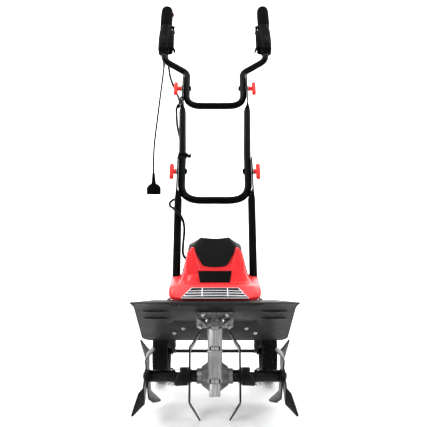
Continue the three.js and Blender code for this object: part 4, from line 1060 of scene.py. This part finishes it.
def gear_case(name, side):
    """One cast half: a D-shaped column with ribs and the half drum round the worm wheel."""
    bm = bmesh.new()

    def d_ring(along, radius):
        ring = [(side * 0.2, radius, along)]
        for k in range(21):
            angle = math.radians(90 - 180 * k / 20)
            ring.append((side * (0.2 + (radius - 0.2) * math.cos(angle)), radius * math.sin(angle), along))
        return ring

    profile = ((-24, 14), (-22, 16.5), (-18, 17.5), (60, 17.5), (64, 16.9), (120, 16.9), (124, 17.5),
               (150, 17.5), (151, 18.6), (156, 18.6), (157, 17.5), (168, 17.5))
    add_loft(bm, [d_ring(along, radius) for along, radius in profile], COLUMN)
    face = [(0.2, -22.5), (5.2, -22.5), (5.8, -20.5), (14.6, -19.5), (18.2, -16.5), (18.2, -2), (10, 4),
            (0.2, 4)]
    add_loft(bm, [[(side * x, v, along) for x, v in face] for along in (-6, 74, 76, 84, 86, 148)], COLUMN)
    foot = [(0.2, -25.5), (5.4, -25.5), (6.2, -24), (12.6, -23), (13.4, -20), (13.4, -6), (0.2, -6)]
    add_loft(bm, [[(side * x, v, along) for x, v in foot] for along in (-38, -35, -8)], COLUMN)
    for along in (66, 73.5):
        ledge = [(0.2, -24.2), (18.6, -21.2), (19.4, -16), (19.4, -2), (0.2, 0)]
        add_loft(bm, [[(side * x, v, at_z) for x, v in ledge] for at_z in (along, along + 3.2)], COLUMN)
    add_box(bm, sided(side, 0.2, 5.6), (14, 22.5), (30, 118), COLUMN)
    for lug_p, lug_at in CASE_LUGS:
        add_bar(bm, (side * 0.2, lug_p, lug_at), (side * 9.5, lug_p, lug_at), 6.2, COLUMN, 28, 0.8)
    finish_piece(f"gear_case_{name}", bm, CAST, "chassis", [f"gearbox_{name}_half"],
                 bevel=0.5, segments=2, angle=40)
    bm = bmesh.new()
    p, along = WHEEL_LINE
    drum = [(0, 0.2), (41, 0.2), (41, 4.5), (36.6, 5.2), (36, 12), (35.4, 17), (33.5, 18.4), (24, 31.5),
            (23, 33), (19, 33.6), (19, 43.6), (17.8, 45), (9.8, 45), (9.8, 20), (0, 20)]
    add_turned(bm, drum, (0, p, along), (side * 50, p, along), COLUMN, 72)
    for k in range(8):
        a = math.radians(22.5 + 45 * k)
        c, s = math.cos(a), math.sin(a)
        line = [(side * 17, p + 33 * c, along + 33 * s), (side * 32, p + 22 * c, along + 22 * s)]
        add_bar(bm, *line, 2.0, COLUMN, 12, 0.4)
    angles = [math.radians(100 + 50 * k) for k in range(5)]
    drum_lugs = [(p - 38.5 * math.cos(a), along - 38.5 * math.sin(a)) for a in angles]
    for lug in drum_lugs:
        add_bar(bm, (side * 0.2, *lug), (side * 8, *lug), 5.4, COLUMN, 24, 0.8)
    # The drum is part of the same casting; its darker colour is painted shade, not a different metal
    finish_piece(f"gear_drum_{name}", bm, CAST_DRUM_PAINTED_SHADE, "chassis", bevel=0.5, segments=2,
                 angle=40)
    bm = bmesh.new()
    for lug_p, lug_at in CASE_LUGS:
        add_hex(bm, (side * 9.5, lug_p, lug_at), (side, 0, 0), 4.6, 3.6, COLUMN)
    for lug in drum_lugs:
        add_hex(bm, (side * 8, *lug), (side, 0, 0), 4.2, 3.2, COLUMN)
    finish_piece(f"case_bolts_{name}", bm, STEEL_PAINT, "chassis")
    bm = bmesh.new()
    add_ring(bm, (side * 44, p, along), (side * 46.2, p, along), 16.4, 9.9, COLUMN, 48)
    finish_piece(f"shaft_seal_{name}", bm, CABLE, "chassis")


# ---- tines ----
TINE_BEND = 66.0
TINE_WIDE = 21.0
TINE_THICK = 4.0
TINE_FOLD = math.radians(36)
TINE_BOW = {"inner": (math.radians(-14), 0.0), "outer": (math.radians(-18), math.radians(-18))}
FOLD_RADIUS = 6.0
LEAF_TIPS = ((18, -21, 21), (26, -12, 21), (34, -2.5, 21), (41, 7, 21), (44, 12, 18.5), (45, 15, 17.2))


def blade(x, clock, fold, bow):
    """A double-ended strip with its ends folded on a slant and cut to a point, as a bmesh."""
    a = math.radians(clock)
    stand = Matrix(((0, 0, 1, x), (math.cos(a), -math.sin(a), 0, 0), (math.sin(a), math.cos(a), 0, 0),
                    (0, 0, 0, 1)))
    where = AXLE @ stand @ Matrix.Translation((0, 0, TINE_THICK / 2))
    bm = bmesh.new()
    slope, square = math.tan(bow), math.cos(bow)
    curl = FOLD_RADIUS * TINE_FOLD  # length of strip that the fold takes up
    edge_wide = 5.0
    for end in (1, -1):
        out = Vector((math.cos(bow), math.sin(bow), 0)) * end

        def folded(d, v, h):
            """Where a point goes that lies d beyond the slanted fold line, measured along the strip."""
            flat = Vector((end * (TINE_BEND + d) - slope * v, v, 0))
            beyond = d * square
            if beyond <= -curl / 2:
                return flat + Vector((0, 0, h))
            on_line = flat - out * beyond
            angle = min((beyond + curl / 2) / FOLD_RADIUS, TINE_FOLD)
            rest = max(beyond - curl / 2, 0)
            along = FOLD_RADIUS * math.sin(angle) + rest * math.cos(angle) - curl / 2
            rise = FOLD_RADIUS * (1 - math.cos(angle)) + rest * math.sin(angle)
            normal = Vector((0, 0, math.cos(angle))) - out * fold * math.sin(angle)
            return on_line + out * along + Vector((0, 0, fold * rise)) + normal * h

        stations = [(d, -TINE_WIDE, TINE_WIDE) for d in (-TINE_BEND, -50, -30, -12, -4, -2.4, -1.2, 0, 1.2,
                                                         2.4, 4, 10)]
        rings = []
        for d, low, high in [*stations, *LEAF_TIPS]:
            if end < 0:
                low, high = -high, -low
            thin = TINE_THICK / 2
            sharp = min(1.0, max(0.25, 1 - (d + 4) / 20))
            wide = min(edge_wide, (high - low) * 0.3)
            section = [(low, -thin * sharp), (low + wide, -thin), (high - wide, -thin),
                       (high, -thin * sharp),
                       (high, thin * sharp), (high - wide, thin), (low + wide, thin), (low, thin * sharp)]
            if d == -TINE_BEND:
                rings.append([(0, v, h) for v, h in section])
            else:
                rings.append([tuple(folded(d, v, h)) for v, h in section])
        add_loft(bm, rings, where, (False, True))
    bmesh.ops.recalc_face_normals(bm, faces=bm.faces)
    for face in bm.faces:
        spots = [where.inverted() @ vert.co for vert in face.verts]
        reach = min(spot.xy.length for spot in spots)
        slanted = face.calc_area() / MM ** 2 < 90
        if reach > TINE_BEND - 4 and slanted and len(face.verts) == 4:
            face.material_index = 1
    return bm


def tine_wheels():
    clock = 90 - 22.5
    for place, x, turn in (("inner", 65.0, clock), ("outer", 169.0, -clock)):
        for name, side in SIDES:
            first = x - TINE_THICK - 0.15 if side > 0 else -x + 0.15
            second = x + 0.15 if side > 0 else -x - TINE_THICK - 0.15
            bm = blade(first, turn, -side, TINE_BOW[place][0])
            hub_from, hub_r = (46, 15.0) if place == "inner" else (99, 14.7)
            face = x - TINE_THICK - 0.1
            add_ring(bm, (side * hub_from, 0, 0), (side * face, 0, 0), hub_r, 9.8, AXLE, 56, 0.8)
            add_ring(bm, (side * (face - 3), 0, 0), (side * face, 0, 0), hub_r + 2.2, 12, AXLE, 56, 1.4)
            if place == "outer":
                add_ring(bm, (side * hub_from, 0, 0), (side * (hub_from + 5), 0, 0), hub_r + 1.2, 9.8,
                         AXLE, 56, 0.8)
            finish_piece(f"{place}_blade_in_{name}", bm, [STEEL_PAINT, GROUND], "tines",
                         [f"{place}_tine_in_{name}"], bevel=0.35, segments=1, angle=30)
            bm = blade(second, turn + 90, side, TINE_BOW[place][1])
            finish_piece(f"{place}_blade_out_{name}", bm, [STEEL_PAINT, GROUND], "tines",
                         [f"{place}_tine_out_{name}"], bevel=0.35, segments=1, angle=30)
            bm = bmesh.new()
            outer = x + TINE_THICK + 0.2
            for k in range(4) if place == "inner" else ():
                a = math.radians(turn + 45 + 90 * k)
                spot = (side * outer, 13.6 * math.cos(a), 13.6 * math.sin(a))
                add_hex(bm, spot, (side, 0, 0), 3.9, 3.0, AXLE)
            add_ring(bm, (side * outer, 0, 0), (side * (outer + 2.2), 0, 0), 16.5, 9.7, AXLE, 40, 0.4)
            finish_piece(f"{place}_blade_washer_{name}", bm, STEEL_PAINT, "tines")


def tine_shaft():
    bm = bmesh.new()
    add_bar(bm, (-178, 0, 0), (178, 0, 0), 9.5, AXLE, 56, 1.2)
    finish_piece("drive_shaft", bm, STEEL_PAINT, "tines", ["tine_shaft"])
    for name, side in SIDES:
        x = side * 108
        bm = bmesh.new()
        add_bar(bm, (x, 0, -19), (x, 0, 19.5), 2.9, AXLE, 24)
        add_turned(bm, [(0, 0), (4.6, 0.2), (5.2, 1.4), (4.4, 3.4), (0, 4.6)], (x, 0, 16.6), (x, 0, 24),
                   AXLE, 24)
        ring = []
        for k in range(33):
            a = 2 * math.pi * k / 32
            ring.append((x + side * 7 * math.sin(a), -2.5 - 9.5 * (1 - math.cos(a)),
                         -17 + 0.9 * (1 - math.cos(a))))
        add_sweep(bm, ring, 1.2, AXLE, 10)
        finish_piece(f"cotter_pin_{name}", bm, ZINC, "tines", [f"hitch_pin_{name}"])
        bm = bmesh.new()
        add_hex(bm, (side * 176, 0, 0), (side, 0, 0), 7.5, 5, AXLE)
        finish_piece(f"shaft_bolt_{name}", bm, ZINC, "tines")


# ---- wheels, bracket, rear frame ----
WHEEL_X = 152.0
TYRE_HALF = 21.5


def symmetric(half):
    """A closed profile across a wheel from its half; both halves meet in the wheel's middle plane."""
    return [*half, *((r, 2 * TYRE_HALF - a) for r, a in half[::-1]), half[0]]


def transport_wheel(name, side):
    centre = at(WHEELS, side * WHEEL_X, 0, 0)
    bm = bmesh.new()
    half = TYRE_HALF
    profile = symmetric([(58.5, 6), (60, 2.6), (64, 0.8), (70, 0), (75, 0.8), (78.5, 3.4), (79.8, 6.5),
                         (80, 11), (79.2, 12), (79.2, 14.5), (80.2, 15.5), (80.4, 20), (79.4, 20.8)])
    add_turned(bm, profile, (-half, 0, 0), (half, 0, 0), centre, 96)
    for row, (low, high) in enumerate(((-19.5, -11), (-5.6, 5.6), (11, 19.5))):
        for k in range(30):
            a = math.radians(12 * (k + 0.5 * row))
            turn = centre @ Matrix.Rotation(a, 4, "X")
            add_box(bm, (low, high), (-3.6, 3.6), (78.6, 82.0), turn)
    finish_piece(f"tread_{name}", bm, TYRE, f"transport_wheel_{name}", [f"tyre_{name}"],
                 bevel=0.4, segments=1, angle=40)
    bm = bmesh.new()
    profile = symmetric([(5.2, -1), (12.6, -1), (13.6, 0), (14.6, 8), (19, 10.4), (46, 11.2), (49, 8.6),
                         (54, 5.2), (58.6, 4.4), (59.8, 6)])
    add_turned(bm, profile, (-half, 0, 0), (half, 0, 0), centre, 72)
    for k in range(6):
        turn = centre @ Matrix.Rotation(math.radians(60 * k + 15), 4, "X")
        for x in ((-half + 6.6, -half + 11), (half - 11, half - 6.6)):
            add_prism(bm, [(-3.2, 14), (3.2, 14), (2.2, 49), (-2.2, 49)], x[0], x[1], turn, "yz")
    finish_piece(f"rim_{name}", bm, BLACK, f"transport_wheel_{name}",
                 [f"wheel_rim_{name}"], bevel=0.5, angle=35)
    bm = bmesh.new()
    add_ring(bm, (side * (WHEEL_X + 22.6), 0, 0), (side * (WHEEL_X + 24.2), 0, 0), 10.5, 5.3, WHEELS, 32)
    add_turned(bm, [(0, 0), (7, 0), (7.4, 1), (6.4, 3.6), (4, 4.8), (0, 5)], (side * 175.6, 0, 0),
               (side * 190, 0, 0), WHEELS, 32)
    finish_piece(f"axle_cap_{name}", bm, ZINC, "transport_bracket")


def wheel_bracket():
    tilt = frame_at(tilt_at, (0, 1, 0))
    down = WHEELS.translation - tilt.translation
    reach = down.length / MM
    arm = frame_at(tilt_at, down)
    bm = bmesh.new()
    for side in (-1, 1):
        outline = arc(0, 0, 12.5, 90) + arc(reach, 0, 11, -90)
        add_prism(bm, outline, side * 122 - 2, side * 122 + 2, arm, "yz")
        rib = [(8, 10.5), (8, 12.3), (reach - 4, 10.8), (reach - 4, 9)]
        for flip in (1, -1):
            points = [(u, flip * v) for u, v in rib]
            add_prism(bm, points[::flip], *sided(side, 112, 120), arm, "yz")
        add_ring(bm, (side * 118, 0, 0), (side * 127.6, 0, 0), 12, 7.9, tilt, 40)
    add_bar(bm, (-128, 0, 0), (128, 0, 0), 8, tilt, 48, 0.8)
    finish_piece("tilt_bracket", bm, STEEL_PAINT, "transport_bracket", ["wheel_bracket"],
                 bevel=0.5)
    bm = bmesh.new()
    add_bar(bm, (-178, 0, 0), (178, 0, 0), 5, WHEELS, 40, 0.8)
    finish_piece("axle_rod", bm, STEEL_PAINT, "transport_bracket", ["wheel_axle"])
    bm = bmesh.new()
    for side in (-1, 1):
        add_ring(bm, (side * 124.4, 0, 0), (side * 130.0, 0, 0), 9, 5.2, WHEELS, 32)
    finish_piece("axle_spacers", bm, BLACK, "transport_bracket")


def repaint_kept_nodes():
    looks = {"rear_frame": STEEL_PAINT, "motor_flange": CAST, "top_bearing_bridge": CAST,
             "motor_stator": ZINC,
             "rotor_core": COPPER_METAL, "worm_shaft": ZINC, "worm_wheel": BRONZE_METAL,
             "lower_worm_bush": BRONZE_METAL, "upper_worm_bearing": ZINC, "cooling_fan": BLACK}
    for name, look in looks.items():
        node = frame["nodes"][name]
        node.data.materials.clear()
        node.data.materials.append(look)


# ---- stage ----
def area_light(name, place, target, size, power):
    data = bpy.data.lights.new(name, "AREA")
    data.size = size
    data.energy = power
    light = bpy.data.objects.new(name, data)
    light.location = place
    light.rotation_euler = (target - Vector(place)).to_track_quat("-Z", "Y").to_euler()
    bpy.context.scene.collection.objects.link(light)


def stage():
    """The pale floor and backdrop, an even world and the lights."""
    floor_paint = make_material("pale_floor", (0.88, 0.88, 0.88), 0.7, grain=60, bump=0.02, vary=0.01,
                                spread=3)
    bm = bmesh.new()
    bend = 1.5
    profile = [(-6, 0), (3.0, 0)]
    for k in range(1, 13):
        a = math.radians(90 * k / 12)
        profile.append((3.0 + bend * math.sin(a), bend - bend * math.cos(a)))
    profile.append((4.5, 6))
    loops = [[bm.verts.new((x, y, z)) for y, z in profile] for x in (-7, 7)]
    for k in range(len(profile) - 1):
        bm.faces.new((loops[0][k], loops[1][k], loops[1][k + 1], loops[0][k + 1]))
    mesh = bpy.data.meshes.new("backdrop")
    bm.to_mesh(mesh)
    bm.free()
    mesh.shade_smooth()
    backdrop = bpy.data.objects.new("backdrop", mesh)
    mesh.materials.append(floor_paint)
    bpy.context.scene.collection.objects.link(backdrop)
    world = bpy.data.worlds.new("studio")
    world.use_nodes = True
    tree = world.node_tree
    direction = tree.nodes.new("ShaderNodeTexCoord").outputs["Generated"]
    split = tree.nodes.new("ShaderNodeSeparateXYZ")
    tree.links.new(direction, split.inputs[0])
    glow = ranged(tree, split.outputs["Z"], 0.0, 0.75, 0.72, 0.80)
    tree.links.new(glow, tree.nodes["Background"].inputs["Strength"])
    tree.nodes["Background"].inputs["Color"].default_value = (1, 1, 1, 1)
    bpy.context.scene.world = world
    target = Vector((0, 0, 0.45))
    area_light("key", (-1.9, -2.2, 2.6), target, 1.0, 48)
    area_light("fill", (2.3, -1.7, 1.6), target, 0.9, 16)
    area_light("top", (0.0, 0.6, 3.2), target, 2.4, 40)
    area_light("rim", (0.8, 2.4, 2.2), target, 1.2, 22)
    for name, x in (("back_left", -2.2), ("back_right", 2.2)):
        area_light(name, (x, 1.4, 3.0), Vector((x * 0.4, 4.6, 0.9)), 2.4, 190)
    bpy.context.scene.view_settings.view_transform = "Standard"


mains_lead()
motor_cable()
cable_clips()
handle_tubes()
fold_knobs()
for side_name, side_sign in SIDES:
    grip(side_name, side_sign)
    switch_box(side_name, side_sign)
    squeeze_lever(side_name, side_sign)
    gear_case(side_name, side_sign)
    transport_wheel(side_name, side_sign)
safety_button()
motor_shell()
cap()
front_trim()
guard()
guard_bracket()
tine_wheels()
tine_shaft()
wheel_bracket()
repaint_kept_nodes()
stage()
